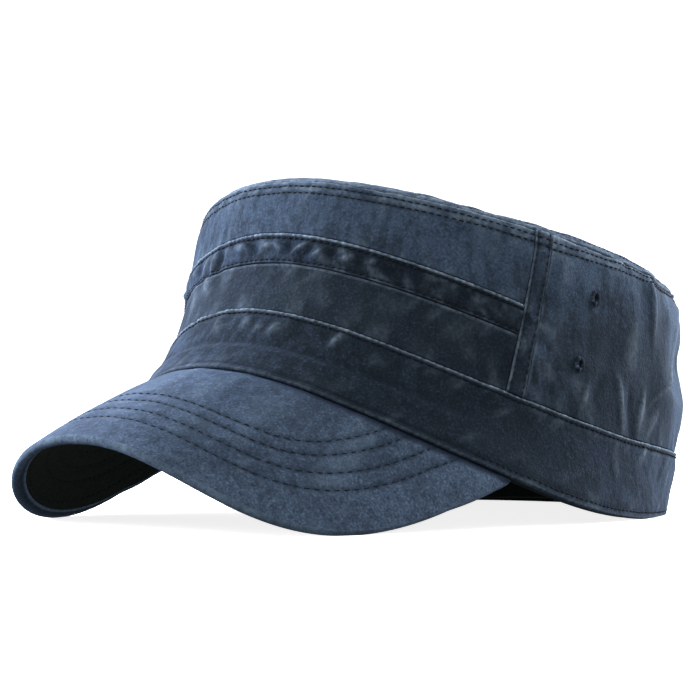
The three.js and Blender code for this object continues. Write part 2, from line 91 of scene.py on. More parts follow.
# narrow creases that only the fine surface shows, in the same columns
CREASES = np.array([
    [-21, 2.75, 2.2, 0.3, 0.8, -9],
    [-15, 2.7, 2.0, 0.3, -0.8, -9],
    [-27, 2.6, 2.4, 0.35, 0.7, -8],
    [110.5, 4.95, 1.1, 0.5, 1.3, 0],
    [106, 5.0, 3.5, 0.4, -1.0, 0],
    [116, 4.8, 3.0, 0.6, -0.8, 3],
    [121, 3.75, 1.2, 0.75, 1.5, 11],
    [126, 3.9, 2.6, 0.7, -1.3, 11],
    [131, 4.5, 2.4, 0.7, 1.0, 9],
    [141, 4.75, 3.0, 0.5, 0.8, -4],
    [141.5, 4.27, 3.6, 0.2, -2.2, 0],
    [96.5, 2.75, 1.0, 0.4, 1.0, -4],
    [101.5, 2.6, 1.4, 0.5, -0.9, -3],
    [106.5, 2.65, 1.1, 0.4, 1.1, 2],
    [84, 2.4, 0.8, 0.25, 0.9, 3],
    [88, 2.6, 1.6, 0.4, -0.6, 3],
    [112, 2.45, 1.6, 0.35, 0.8, 6],
    [92, 3.6, 2.6, 0.7, -0.5, 3],
    [101, 4.1, 3.0, 0.8, 0.6, 3],
    [75.5, 4.6, 1.4, 0.5, 0.4, 0],
    [58, 4.7, 1.6, 0.4, 0.4, 0],
    [54, 4.85, 1.4, 0.3, 0.4, -3],
    [150, 3.3, 2, 0.8, 0.59, -4],
    [157, 2.8, 1.7, 0.5, -0.52, 4],
    [170, 4.3, 2, 0.7, -0.52, 5],
    [180, 2.8, 1.5, 0.6, 0.52, -6],
    [-96, 2.7, 1.7, 0.6, 0.45, -7],
    [-103, 4.4, 1.8, 0.6, 0.59, 6],
    [-108, 4.9, 1.5, 0.4, -0.59, 2],
    [-120, 3.2, 1.5, 0.8, -0.59, -5],
    [-126, 3.5, 1.7, 0.8, 0.59, -8],
    [-140, 4.4, 2, 0.7, 0.59, 5],
    [-163, 3, 1.7, 0.8, 0.59, 5],
    [-171, 4, 2, 0.7, 0.45, -5],
    [-84, 2.6, 1.2, 0.4, 0.45, 4],
])
# the same, on the hat band
BAND_CREASES = np.array([
    [149, 1.0, 1.0, 0.6, 1.2, 0],
    [152.5, 1.0, 1.2, 0.6, -0.9, 0],
    [156, 0.9, 1.0, 0.5, 1.1, 3],
    [124, 1.05, 1.1, 0.4, 1.0, 6],
    [119, 1.2, 1.6, 0.4, -0.6, 5],
    [108, 1.6, 1.6, 0.3, 0.6, 5],
    [98, 1.1, 1.8, 0.4, 0.5, -5],
    [135, 1.4, 2.0, 0.5, 0.7, -4],
    [168, 1.0, 2.2, 0.5, 0.6, 4],
    [180, 1.3, 1.6, 0.4, -0.7, 4],
    [-150, 1.1, 1.6, 0.5, 0.7, 3],
    [-135, 1.4, 2.0, 0.4, -0.6, 3],
    [-122, 1.0, 1.6, 0.5, 0.7, -5],
    [-100, 1.4, 1.8, 0.4, 0.6, 4],
    [27, 1.6, 1.0, 0.22, 0.7, 4],
    [3.2, 1.6, 1.7, 0.2, 0.6, 0],
    [7.6, 1.48, 1.4, 0.2, 0.5, 2],
    [11.8, 1.5, 1.4, 0.24, 0.6, 2],
    [-6, 1.5, 2.2, 0.3, 0.5, -3],
    [18, 1.5, 2.0, 0.3, -0.5, 2],
    [36, 1.5, 1.5, 0.25, 0.4, 3],
    [145, 1.5, 0.9, 0.5, 0.9, 2],
    [160, 1.3, 0.9, 0.6, 1.1, 0],
])
# puckers of the felled strip: paler where they stand out, with painted shade where they sink
STRIP_CREASES = np.array([
    [-20, 3.42, 1.1, 0.42, 1.5, 2],
    [-16.6, 3.42, 1.3, 0.4, -1.0, 2],
    [-24.5, 3.45, 1.3, 0.4, 0.9, 3],
    [-8.2, 3.58, 1.7, 0.17, 1.0, -4],
    [-3.2, 3.5, 1.6, 0.3, -0.9, -4],
    [1.6, 3.58, 1.9, 0.15, 0.8, -3],
    [5.2, 3.52, 1.1, 0.16, 0.7, -6],
    [8.4, 3.5, 1.2, 0.3, -0.9, 0],
    [11.9, 3.54, 1.0, 0.24, 1.0, 9],
    [14.6, 3.5, 0.9, 0.3, -0.8, 4],
    [17.3, 3.47, 1.1, 0.16, 0.8, 5],
    [21.0, 3.5, 1.5, 0.3, -0.9, 2],
    [25.2, 3.5, 1.5, 0.2, 0.85, 4],
    [28.6, 3.5, 1.1, 0.3, -0.8, 3],
    [31.6, 3.62, 0.9, 0.16, 0.6, 3],
    [38.0, 3.5, 2.4, 0.3, -0.6, 3],
    [47.5, 3.8, 1.4, 0.12, 0.45, 3],
    [56.0, 3.6, 1.4, 0.2, 0.35, 3],
    [-33, 3.58, 1.6, 0.18, 0.8, -3],
    [-39, 3.5, 1.5, 0.26, 0.7, 5],
    [-47, 3.56, 1.3, 0.18, 0.9, -4],
    [-53, 3.5, 1.6, 0.26, 0.6, 3],
    [-60, 3.6, 1.2, 0.18, 0.8, -3],
    [-43, 3.5, 1.2, 0.3, -0.8, 0],
    [-29, 3.5, 1.2, 0.3, -0.8, 0],
])
# how much paler each piece is painted round the cap: angle, value; some real fading, and painted
# light where the lamps reach and painted shade where they miss
BAND_TONE_AND_LIGHT = ((-180, 0.0), (-150, 0.0), (-110, -0.4), (-60, -0.45), (-30, -0.15), (-12, -0.5),
             (8, -0.65), (60, -0.8), (80, -0.75), (112, -0.45), (138, -0.1), (154, 0.55),
             (180, 0.0))
UPPER_TONE_AND_LIGHT = ((-60, -0.1), (-10, -0.05), (20, 0.1), (68, 0.15))
STRIP_TONE_AND_LIGHT = ((-68, -0.2), (-40, 0.05), (-15, 0.15), (12, 0.25), (34, -0.6), (68, -0.7))
REAR_TONE_AND_LIGHT = ((-180, 0.9), (-150, 0.75), (-125, 0.65), (-95, 0.6), (-68, 0.6), (68, 1.05), (80, 0.5),
             (92, -0.05), (116, -0.1), (127, 1.0), (134, 1.7), (150, 1.3), (180, 0.9))
# left, rear, width and depth of the lid's shallow hollows
LID_DENTS = np.array([[26, -22, 24, -1.6], [-30, 10, 28, -1.8], [12, 38, 22, 1.2]])
NO_CREASES = np.zeros((0, 6))


class Side(Enum):
    """The four edges of a wall panel."""

    LOW = "low"
    HIGH = "high"
    START = "start"
    END = "end"


# ------------------------------------------------------------------ numbers and noise


def smooth_step(value: Array, low: float, high: float) -> Array:
    """Rises smoothly from 0 at low to 1 at high."""
    share = np.clip((value - low) / (high - low), 0.0, 1.0)
    return share * share * (3.0 - 2.0 * share)


def clamp(value: Array) -> Array:
    """The value, held from 0 to 1."""
    return np.clip(value, 0.0, 1.0)


def bell(distance: Array, width: float) -> Array:
    """A soft bump, 1 at zero distance."""
    return np.exp(-((distance / width) ** 2))


def signed(angle: Array) -> Array:
    """The same direction as an angle from -180 to 180 degrees."""
    return (angle + 180) % 360 - 180


def unit(vectors: Array) -> Array:
    """Vectors of length 1 in the same directions."""
    return vectors / np.linalg.norm(vectors, axis=-1, keepdims=True)


def at(value: float) -> Array:
    """A single value as an array, as the cap's form takes it."""
    return np.array(value)


def lattice_noise(points: Array, cell: float, seed: int) -> Array:
    """Smooth seeded noise from -1 to 1.

    Args:
        points: Places, with their two or three coordinates last.
        cell: Size of the noise's cells, in the points' units.
        seed: Number that picks the pattern.

    Returns:
        One value for each place.
    """
    scaled = points / cell
    base = np.floor(scaled).astype(np.int64)
    part = scaled - base
    part = part * part * (3.0 - 2.0 * part)
    primes = np.array([73856093, 19349663, 83492791], dtype=np.int64)
    size = points.shape[-1]
    total = np.zeros(points.shape[:-1])
    for corner in range(2 ** size):
        step = np.array([(corner >> axis) & 1 for axis in range(size)])
        key = ((base + step) * primes[:size]).sum(-1) + seed * 2654435761
        key = (key ^ (key >> 13)) * 1274126177
        value = ((key ^ (key >> 16)) & 0xFFFF) / 32767.5 - 1.0
        weight = np.prod(np.where(step == 1, part, 1.0 - part), axis=-1)
        total += value * weight
    return total


def look_up(places: Array, table: Table) -> Array:
    """Values of a table at any places."""
    return np.interp(places, *np.array(table).T)


def crossing(distance: Array, points: Array) -> tuple[Array, Array]:
    """Where each column of a grid first reaches zero distance.

    Args:
        distance: Signed distances, which rise along the rows.
        points: The grid's points.

    Returns:
        One point for each column, and the row just past it.
    """
    after = np.maximum(np.argmax(distance >= 0, axis=0), 1)
    pick = np.arange(distance.shape[1])
    before = after - 1
    reach = np.maximum(distance[after, pick] - distance[before, pick], 1e-6)
    part = (-distance[before, pick] / reach)[:, None]
    return points[before, pick] * (1 - part) + points[after, pick] * part, after


def cumulative(points: Array, axis: int) -> Array:
    """Length run along one axis of a grid of points, starting at zero.

    Args:
        points: The grid or line of points, with their coordinates last.
        axis: The axis to run along.

    Returns:
        The lengths.
    """
    steps = np.linalg.norm(np.diff(points, axis=axis), axis=-1)
    start = np.zeros_like(np.take(steps, [0], axis=axis))
    return np.concatenate([start, np.cumsum(steps, axis=axis)], axis=axis)


# ------------------------------------------------------------------ the cap's form


@dataclass(frozen=True)
class CapForm:
    """The level surface that every wall of the cap follows, as the cap stands."""

    offset: float = 10.0  # how far back the whole form stands
    lid_sag: float = 4.5  # how far the lid sinks at its middle
    rest_flat: float = 1.2  # how far the rim is pressed down where the cap rests
    rest_fade: float = 24.0  # height where that pressing ends
    seam_at_rim: float = 63.3  # angle of the side seams at the rim
    seam_per_level: float = 1.25  # how much it grows with each level

    def rings(self, level: Array) -> Array:
        """Ring sizes at any levels, with the nine columns last.

        Args:
            level: The levels.

        Returns:
            The sizes, with one more axis than the levels.
        """
        below = np.clip(np.floor(level), 0, SHOULDER - 1).astype(int)
        t = (level - below)[..., None]
        a, b, c, d = (RINGS[np.clip(below + step, 0, CREST)] for step in (-1, 0, 1, 2))
        wall = 0.5 * (2 * b + (c - a) * t + (2 * a - 5 * b + 4 * c - d) * t ** 2
                      + (3 * b - a - 3 * c + d) * t ** 3)
        turn = np.radians(90 * clamp(level - SHOULDER))[..., None]
        share = np.where(IS_HEIGHT, np.sin(turn), 1 - np.cos(turn))
        roll = RINGS[SHOULDER] * (1 - share) + RINGS[CREST] * share
        return np.where((level <= SHOULDER)[..., None], wall, roll)

    def surface(self, angle: Array, level: Array) -> Array:
        """Points of the level surface, before folds.

        Args:
            angle: Degrees round from the front.
            level: Levels up the cap.

        Returns:
            The points, with their three coordinates last.
        """
        angle, level = np.broadcast_arrays(np.asarray(angle, float), np.asarray(level, float))
        front, back, half, power, shift, height, tilt, arch, nose = np.moveaxis(
            self.rings(level), -1, 0)
        inward = clamp(LID_CENTRE - level)
        sine, cosine = np.sin(np.radians(angle)), np.cos(np.radians(angle))
        reach = np.where(cosine > 0, front, back)
        radius = inward * ((np.abs(sine) / half) ** power
                           + (np.abs(cosine) / reach) ** power) ** (-1 / power)
        x, rear = radius * sine, -radius * cosine
        z = (height + tilt * inward * cosine + arch * inward ** 2 * np.cos(np.radians(2 * angle))
             + nose * inward ** 3 * np.cos(np.radians(3 * angle)))
        dents = sum(dent[3] * np.exp(-((x - dent[0]) ** 2 + (rear - dent[1]) ** 2) / dent[2] ** 2)
                    for dent in LID_DENTS)
        z = z - self.lid_sag * (1 - inward ** 2) ** 2 + (1 - inward ** 4) * dents
        return np.stack([x, shift + rear + self.offset, z], axis=-1)

    def steps(self, angle: Array, level: Array) -> tuple[Array, Array]:
        """Steps of the surface round the cap for a degree, and up it for a level.

        Args:
            angle: Degrees round from the front.
            level: Levels up the cap.

        Returns:
            The step round and the step up, in millimetres.
        """
        level = np.clip(level, 0.02, LID_CENTRE - 0.05)
        turn, rise = 0.5, 0.01
        across = self.surface(angle + turn, level) - self.surface(angle - turn, level)
        upward = self.surface(angle, level + rise) - self.surface(angle, level - rise)
        return across / (2 * turn), upward / (2 * rise)

    def normal(self, angle: Array, level: Array) -> Array:
        """Outward directions of the surface."""
        across, upward = self.steps(angle, level)
        return unit(np.cross(across, upward))

    def settled(self, points: Array) -> Array:
        """Presses what lies near the resting plane down onto it.

        Args:
            points: Points of the cloth.

        Returns:
            The points, with none below the plane.
        """
        z = points[..., 2]
        flat = self.rest_flat * (1 - smooth_step(z, self.rest_flat, self.rest_fade))
        return np.concatenate([points[..., :2], np.maximum(0, z - flat)[..., None]], axis=-1)

    def folds(self, angle: Array, level: Array, table: Array = FOLDS) -> Array:
        """How far a table of folds pushes the cloth out.

        Args:
            angle: Degrees round from the front.
            level: Levels up the cap.
            table: The folds, in the columns of FOLDS.

        Returns:
            Millimetres outwards; none right at the rim.
        """
        total = np.zeros(np.broadcast(angle, level).shape)
        for middle, height, wide, tall, depth, lean in table:
            up = level - height
            around = signed(angle - middle - lean * up)
            total += depth * np.exp(-((around / wide) ** 2) - (up / tall) ** 2)
        return total * smooth_step(level, 0.4, 1.6)

    def cloth(self, angle: Array, level: Array, proud: Array | float) -> Array:
        """Points standing off the level surface, with the soft folds.

        Args:
            angle: Degrees round from the front.
            level: Levels up the cap.
            proud: Millimetres off the level surface.

        Returns:
            The points, settled on the resting plane.
        """
        offset = proud + self.folds(angle, level)
        points = self.surface(angle, level) + self.normal(angle, level) * offset[..., None]
        return self.settled(points)

    def seam_edge(self, side: int, millimetres: float, turn: float = 0.0) -> AngleAt:
        """Angle beside a side seam's middle, as a function of the level.

        Args:
            side: 1 for the left seam and -1 for the right one.
            millimetres: Distance from its middle, to the left.
            turn: Degrees added, for a panel that passes the back.

        Returns:
            The function.
        """
        def angle_at(level: Array) -> Array:
            """The angle at each level.

            Args:
                level: Levels up the cap.

            Returns:
                The angles.
            """
            middle = side * (self.seam_at_rim + self.seam_per_level * level)
            across, _ = self.steps(middle, level)
            return middle + millimetres / np.linalg.norm(across, axis=-1) + turn

        return angle_at


FORM = CapForm()


# ------------------------------------------------------------------ meshes


def place_object(name: str, data: bpy.types.ID) -> bpy.types.Object:
    """Makes an object of some data and puts it in the scene.

    Args:
        name: The object's name.
        data: Its mesh, light or camera.

    Returns:
        The object, at the origin.
    """
    thing = bpy.data.objects.new(name, data)
    bpy.context.scene.collection.objects.link(thing)
    return thing


@dataclass
class MeshParts:
    """Vertices, quads and named shades that grow into one mesh."""

    points: list[Array] = field(default_factory=list)
    faces: list[Array] = field(default_factory=list)
    shades: dict[str, list[Array]] = field(default_factory=dict)
    count: int = 0

    def add(self, points: Array, faces: Array, **shades: Array) -> None:
        """Adds vertices with their quads, which count from the first new vertex.

        Args:
            points: The vertices, with their coordinates last.
            faces: The quads.
            **shades: Values of SHADES, one for each vertex or one for all; 0 if left out.
        """
        self.points.append(points.reshape(-1, 3))
        self.faces.append(faces.reshape(-1, 4) + self.count)
        for name in SHADES:
            value = shades.get(name, 0.0)
            flat = np.broadcast_to(value, points.shape[:-1]).reshape(-1)
            self.shades.setdefault(name, []).append(flat)
        self.count += len(self.points[-1])

    def build(self, name: str, material: bpy.types.Material) -> bpy.types.Object:
        """Makes the object, in metres, with smooth faces.

        Args:
            name: The name of the object and its mesh.
            material: Its material.

        Returns:
            The object.
        """
        points = np.concatenate(self.points) * MM
        faces = np.concatenate(self.faces)
        mesh = bpy.data.meshes.new(name)
        mesh.vertices.add(len(points))
        mesh.vertices.foreach_set("co", points.ravel())
        mesh.loops.add(faces.size)
        mesh.loops.foreach_set("vertex_index", faces.ravel().astype(np.int32))
        mesh.polygons.add(len(faces))
        mesh.polygons.foreach_set("loop_start", np.arange(0, faces.size, 4, dtype=np.int32))
        mesh.update(calc_edges=True)
        mesh.validate()
        mesh.polygons.foreach_set("use_smooth", np.ones(len(mesh.polygons), dtype=bool))
        for shade, values in self.shades.items():
            layer = mesh.attributes.new(shade, "FLOAT", "POINT")
            layer.data.foreach_set("value", np.concatenate(values).astype(np.float32))
        mesh.materials.append(material)
        return place_object(name, mesh)


def grid_faces(rows: int, columns: int, is_ring: bool, flip: bool = False) -> Array:
    """Quads of a grid whose rows go up and columns round to the left of the wearer.

    Args:
        rows: How many rows there are.
        columns: How many columns there are.
        is_ring: Whether the last column joins the first.
        flip: Whether the quads face inwards.

    Returns:
        One row for each quad.
    """
    r, c = np.meshgrid(np.arange(rows - 1), np.arange(columns if is_ring else columns - 1),
                       indexing="ij")
    nxt = (c + 1) % columns
    quads = np.stack([r * columns + c, r * columns + nxt, (r + 1) * columns + nxt,
                      (r + 1) * columns + c], axis=-1).reshape(-1, 4)
    return quads[:, ::-1] if flip else quads


def seat(piece: bpy.types.Object, slot: str, *nodes: str) -> bpy.types.Object:
    """Puts a piece on the body, in place of its nodes.

    Args:
        piece: The piece.
        slot: Not used.
        *nodes: The CAD nodes that it stands for.

    Returns:
        The same piece.
    """
    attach(piece, "root")
    if nodes:
        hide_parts(*nodes)
    LOG.info("%s: %d faces", piece.name, len(piece.data.polygons))
    return piece


# ------------------------------------------------------------------ finishes


def set_inputs(node: bpy.types.Node, values: dict[str, object]) -> None:
    """Sets a node's own sockets by name."""
    for name, value in values.items():
        node.inputs[name].default_value = value


def feed(tree: bpy.types.NodeTree, value: object, socket: bpy.types.NodeSocket) -> None:
    """Joins a socket to another, or sets it to a number or colour.

    Args:
        tree: The node tree.
        value: A socket, a number or a colour.
        socket: The socket that takes it.
    """
    if isinstance(value, bpy.types.NodeSocket):
        tree.links.new(value, socket)
    else:
        socket.default_value = value


class Sheet:
    """A material's node tree, with short ways to add to it."""

    def __init__(self, name: str) -> None:
        """Starts a material with a cloth shader.

        Args:
            name: The material's name.
        """
        self.material = bpy.data.materials.new(name)
        self.material.use_nodes = True
        self.tree = self.material.node_tree
        self.shader = self.tree.nodes["Principled BSDF"]

    def node(self, kind: str, **settings: object) -> bpy.types.Node:
        """Adds a node; settings name its properties.

        Args:
            kind: The node's type.
            **settings: Its properties.

        Returns:
            The node.
        """
        node = self.tree.nodes.new(kind)
        for key, value in settings.items():
            setattr(node, key, value)
        return node

    def link(self, source: bpy.types.NodeSocket, target: bpy.types.NodeSocket) -> None:
        """Joins two sockets."""
        self.tree.links.new(source, target)

    def dress(self, values: dict[str, object]) -> None:
        """Sets the shader's own sockets by name."""
        set_inputs(self.shader, values)

    def shade(self, name: str) -> bpy.types.NodeSocket:
        """Reads one of the mesh's shades."""
        return self.node("ShaderNodeAttribute", attribute_name=name).outputs["Fac"]

    def noise(self, scale: float, detail: float, stretch: tuple[float, float, float] = (1, 1, 1),
              distortion: float = 0.0) -> bpy.types.NodeSocket:
        """Noise over the object's own space, with scale in cells for each metre.

        Args:
            scale: Cells in a metre.
            detail: Octaves of finer noise.
            stretch: Scales along the three axes.
            distortion: How much it is warped.

        Returns:
            The noise, from 0 to 1.
        """
        place = self.node("ShaderNodeTexCoord").outputs["Object"]
        mapping = self.node("ShaderNodeMapping")
        set_inputs(mapping, {"Scale": stretch})
        texture = self.node("ShaderNodeTexNoise")
        set_inputs(texture, {"Scale": scale, "Detail": detail, "Distortion": distortion})
        self.link(place, mapping.inputs["Vector"])
        self.link(mapping.outputs["Vector"], texture.inputs["Vector"])
        return texture.outputs["Fac"]

    def math(self, operation: str, first: object, second: object = 0.0,
             is_held: bool = False) -> bpy.types.NodeSocket:
        """One step of arithmetic on sockets or numbers.

        Args:
            operation: What it does.
            first: A socket or a number.
            second: The same.
            is_held: Whether the result stays from 0 to 1.

        Returns:
            The result.
        """
        node = self.node("ShaderNodeMath", operation=operation, use_clamp=is_held)
        for socket, value in zip(node.inputs, (first, second)):
            feed(self.tree, value, socket)
        return node.outputs["Value"]

    def remap(self, value: bpy.types.NodeSocket, low: float, high: float,
              to_low: float = 0.0, to_high: float = 1.0) -> bpy.types.NodeSocket:
        """Stretches a range of values onto another, with clamped ends.

        Args:
            value: What is stretched.
            low: The value that gives to_low.
            high: The value that gives to_high.
            to_low: The result at low.
            to_high: The result at high.

        Returns:
            The result.
        """
        node = self.node("ShaderNodeMapRange")
        self.link(value, node.inputs["Value"])
        set_inputs(node, {"From Min": low, "From Max": high, "To Min": to_low, "To Max": to_high})
        return node.outputs["Result"]

    def blend(self, share: bpy.types.NodeSocket, first: object, second: object
              ) -> bpy.types.NodeSocket:
        """Mixes two colours, each a socket or a red, green and blue.

        Args:
            share: How much of the second colour there is.
            first: A colour.
            second: Another colour.

        Returns:
            The mixed colour.
        """
        node = self.node("ShaderNodeMix", data_type="RGBA")
        self.link(share, node.inputs["Factor"])
        sockets = [item for item in node.inputs if item.type == "RGBA"]
        for socket, value in zip(sockets, (first, second)):
            feed(self.tree, (*value, 1.0) if isinstance(value, tuple) else value, socket)
        return next(item for item in node.outputs if item.type == "RGBA")

    def bump(self, height: bpy.types.NodeSocket, distance: float, strength: float) -> None:
        """Raises the surface by a height pattern.

        Args:
            height: The pattern, from 0 to 1.
            distance: Metres that it rises.
            strength: How strongly it shows.
        """
        node = self.node("ShaderNodeBump")
        set_inputs(node, {"Strength": strength, "Distance": distance})
        self.link(height, node.inputs["Height"])
        self.link(node.outputs["Normal"], self.shader.inputs["Normal"])


@dataclass(frozen=True)
class WashedTwill:
    """Garment-washed cotton twill: blotchy dye, pale worn ridges, and painted shade in creases and
    on inner faces.
    """

    name: str
    body: Colour
    faded: Colour
    worn: Colour
    # colour of the darkest specks, and of the painted shade in creases and on inner faces
    deep_and_shade: Colour
    specks: float = 0.75
    streaks: float = 0.4
    mottle: float = 0.3
    roughness: float = 0.95

    def material(self) -> bpy.types.Material:
        """Builds the material.

        Returns:
            The material.
        """
        sheet = Sheet(self.name)
        clouds = sheet.remap(sheet.noise(42, 3.0, distortion=0.3), 0.35, 0.65)
        mottle = sheet.remap(sheet.noise(330, 2.0), 0.34, 0.66)
        streaks = sheet.remap(sheet.noise(300, 2.0, stretch=(1, 1, 0.28)), 0.36, 0.64)
        grain = sheet.noise(1250, 2.0)
        fade = sheet.math("ADD", sheet.math("MULTIPLY", clouds, 0.42),
                          sheet.math("MULTIPLY", mottle, self.mottle))
        fade = sheet.math("ADD", fade, sheet.math("MULTIPLY", streaks, self.streaks))
        # the mesh's dye shade mixes real fading with painted light and painted shade
        fade = sheet.math("ADD", sheet.remap(fade, 0.25, 0.8, 0.08, 0.85), sheet.shade("dye"), True)
        colour = sheet.blend(fade, self.body, self.faded)
        shine = sheet.remap(fade, 0.0, 1.0, 0.25, 1.0)
        light = sheet.math("MULTIPLY", sheet.remap(grain, 0.53, 0.72, 0.0, self.specks), shine)
        dark = sheet.remap(grain, 0.46, 0.28, 0.0, 0.6 * self.specks)
        colour = sheet.blend(light, colour, tuple(1.7 * value for value in self.faded))
        colour = sheet.blend(dark, colour, self.deep_and_shade)
        chafe = sheet.remap(sheet.noise(640, 2.0), 0.34, 0.6, 0.4, 1.0)
        wear = sheet.math("MULTIPLY", sheet.shade("wear"), chafe, True)
        colour = sheet.blend(wear, colour, self.worn)
        # painted shade: creases, stitch grooves and every inner face are darkened towards the
        # deepest colour
        shade_in_creases = sheet.math("MULTIPLY", sheet.shade("crease"), 0.85, True)
        colour = sheet.blend(shade_in_creases, colour, self.deep_and_shade)
        colour = sheet.blend(sheet.shade("inside"), colour, self.deep_and_shade)
        sheet.link(colour, sheet.shader.inputs["Base Color"])
        height = sheet.math("ADD", sheet.math("MULTIPLY", self.twill_lines(sheet), 0.25), grain)
        height = sheet.math("ADD", height, sheet.math("MULTIPLY", mottle, 0.7))
        sheet.bump(height, 0.0003, 0.7)
        sheet.dress({"Roughness": self.roughness, "Specular IOR Level": 0.04, "Sheen Weight": 0.12,
                     "Sheen Roughness": 0.45, "Sheen Tint": (0.35, 0.55, 1.0, 1.0)})
        return sheet.material

    @staticmethod
    def twill_lines(sheet: Sheet) -> bpy.types.NodeSocket:
        """The diagonal ribs of the weave.

        Args:
            sheet: The material that they belong to.

        Returns:
            The height of the ribs.
        """
        place = sheet.node("ShaderNodeTexCoord").outputs["Object"]
        wave = sheet.node("ShaderNodeTexWave", wave_type="BANDS", bands_direction="DIAGONAL")
        set_inputs(wave, {"Scale": 1100, "Distortion": 2.0, "Detail": 1.0})
        sheet.link(place, wave.inputs["Vector"])
        return wave.outputs["Fac"]


@dataclass(frozen=True)
class PlainCotton:
    """Matt dark cotton or thread with a fine grain."""

    name: str
    body: Colour
    light: Colour
    scale: float = 900.0
    roughness: float = 0.92

    def material(self) -> bpy.types.Material:
        """Builds the material.

        Returns:
            The material.
        """
        sheet = Sheet(self.name)
        grain = sheet.remap(sheet.noise(self.scale, 3.0), 0.35, 0.7)
        colour = sheet.blend(grain, self.body, self.light)
        # pale specks from the wear shade; on the eyelets they are painted highlights
        worn = sheet.math("MULTIPLY", sheet.shade("wear"), 0.6, True)
        colour = sheet.blend(worn, colour, tuple(4 * value for value in self.light))
        sheet.link(colour, sheet.shader.inputs["Base Color"])
        sheet.bump(grain, 0.0002, 0.5)
        sheet.dress({"Roughness": self.roughness, "Specular IOR Level": 0.15})
        return sheet.material


class Finish(Enum):
    """Every finish of the cap."""

    CROWN = WashedTwill(
        "crown_twill", (0.0145, 0.0215, 0.0298), (0.046, 0.070, 0.111), (0.23, 0.30, 0.38),
        (0.006, 0.0095, 0.012))
    SEAM = WashedTwill(
        "seam_twill", (0.0106, 0.0162, 0.0232), (0.037, 0.057, 0.099), (0.26, 0.34, 0.44),
        (0.0045, 0.007, 0.009))
    BAND = WashedTwill(
        "band_twill", (0.0118, 0.0180, 0.0247), (0.039, 0.059, 0.098), (0.25, 0.33, 0.42),
        (0.0045, 0.007, 0.009), streaks=0.5, mottle=0.45)
    # the brim's twill is the crown's navy painted paler: painted light from above
    BRIM = WashedTwill(
        "brim_twill", (0.032, 0.047, 0.072), (0.063, 0.093, 0.145), (0.15, 0.215, 0.29),
        (0.010, 0.016, 0.026), specks=0.95, streaks=0.16, mottle=0.48)
    # near-black lining: painted shade for the cloth under the brim, inside the crown and behind the
    # seams
    SHADED_LINING = PlainCotton("dark_lining", (0.006, 0.0097, 0.0086), (0.013, 0.020, 0.018))
    # navy thread, darkened further as painted shade of the stitch holes
    THREAD = PlainCotton("thread", (0.005, 0.0075, 0.013), (0.014, 0.021, 0.034))
    EYELET = PlainCotton("eyelet_thread", (0.009, 0.0135, 0.020), (0.036, 0.052, 0.078))


@dataclass
class Wardrobe:
    """The finishes' materials, made once each."""

    made: dict[Finish, bpy.types.Material] = field(default_factory=dict)

    def get(self, finish: Finish) -> bpy.types.Material:
        """The material of a finish.

        Args:
            finish: The finish.

        Returns:
            The material, made when it is first asked for.
        """
        if finish not in self.made:
            self.made[finish] = finish.value.material()
        return self.made[finish]


# ------------------------------------------------------------------ stitching


@dataclass(frozen=True)
class StitchRow:
    """A row of topstitching: short threads that dip into the cloth at both ends."""

    pitch: float = 2.5  # from one stitch to the next
    share: float = 0.72  # part of the pitch that shows as thread
    radius: float = 0.24  # of the thread
    lift: float = 0.02  # how far the row stands off the cloth
    sides: int = 6

    def add_to(self, parts: MeshParts, line: Array, normals: Array) -> None:
        """Lays the row along a line.

        Args:
            parts: The mesh that the stitches join.
            line: Points on the cloth, in order.
            normals: Outward directions at those points.
        """
        run = cumulative(line, 0)
        count = int(run[-1] // self.pitch)
        if count < 1:
            return
        middles = (np.arange(count) + 0.5) * run[-1] / count
        half = 0.5 * self.share * run[-1] / count
        along = np.array([-1.0, -0.8, -0.35, 0.35, 0.8, 1.0])
        bulk = np.array([0.25, 0.75, 1.0, 1.0, 0.75, 0.25])
        height = np.array([-0.8, -0.1, 0.5, 0.5, -0.1, -0.8]) * self.radius + self.lift
        places = middles[:, None] + half * along
        centre = np.stack([np.interp(places, run, line[:, k]) for k in range(3)], axis=-1)
        up = np.stack([np.interp(places, run, normals[:, k]) for k in range(3)], axis=-1)
        up = unit(up)
        ahead = (centre[:, -1] - centre[:, 0])[:, None, :]
        side = unit(np.cross(np.broadcast_to(ahead, up.shape), up))
        centre = centre + up * height[:, None]
        turn = np.radians(np.arange(self.sides) * 360 / self.sides)
        ring = (side[..., None, :] * np.cos(turn)[:, None]
                + up[..., None, :] * np.sin(turn)[:, None])
        points = centre[..., None, :] + ring * (bulk * self.radius)[:, None, None]
        one = grid_faces(len(along), self.sides, True)
        size = len(along) * self.sides
        caps = np.array([[0, 3, 2, 1], [0, 5, 4, 3]])
        last = (len(along) - 1) * self.sides
        one = np.concatenate([one, caps, last + caps[:, ::-1]])
        faces = (one[None] + size * np.arange(count)[:, None, None]).reshape(-1, 4)
        parts.add(points, faces)


# ------------------------------------------------------------------ wall panels


EDGE_ROWS = np.array([0.0, 0.12, 0.3, 0.55, 0.9, 1.4, 2.0])  # grid rows that shape an edge's fold
TAPER_FROM = 72.0  # degrees from the front where stitch rows start to near an edge
NEAREST_ROW = 0.9  # the least distance of a stitch row from its edge
GROOVE_WIDTH = 0.8
# width of the painted shade along a stitch groove
SHADE_WIDTH = 0.55
GROOVE_SHADE = 2.4  # painted shade of a stitch row's groove for each millimetre that it is pulled in
FULLY_WORN = 0.9  # edges rubbed more than this show a bead between every two stitches
BEAD_HEIGHT = 0.12


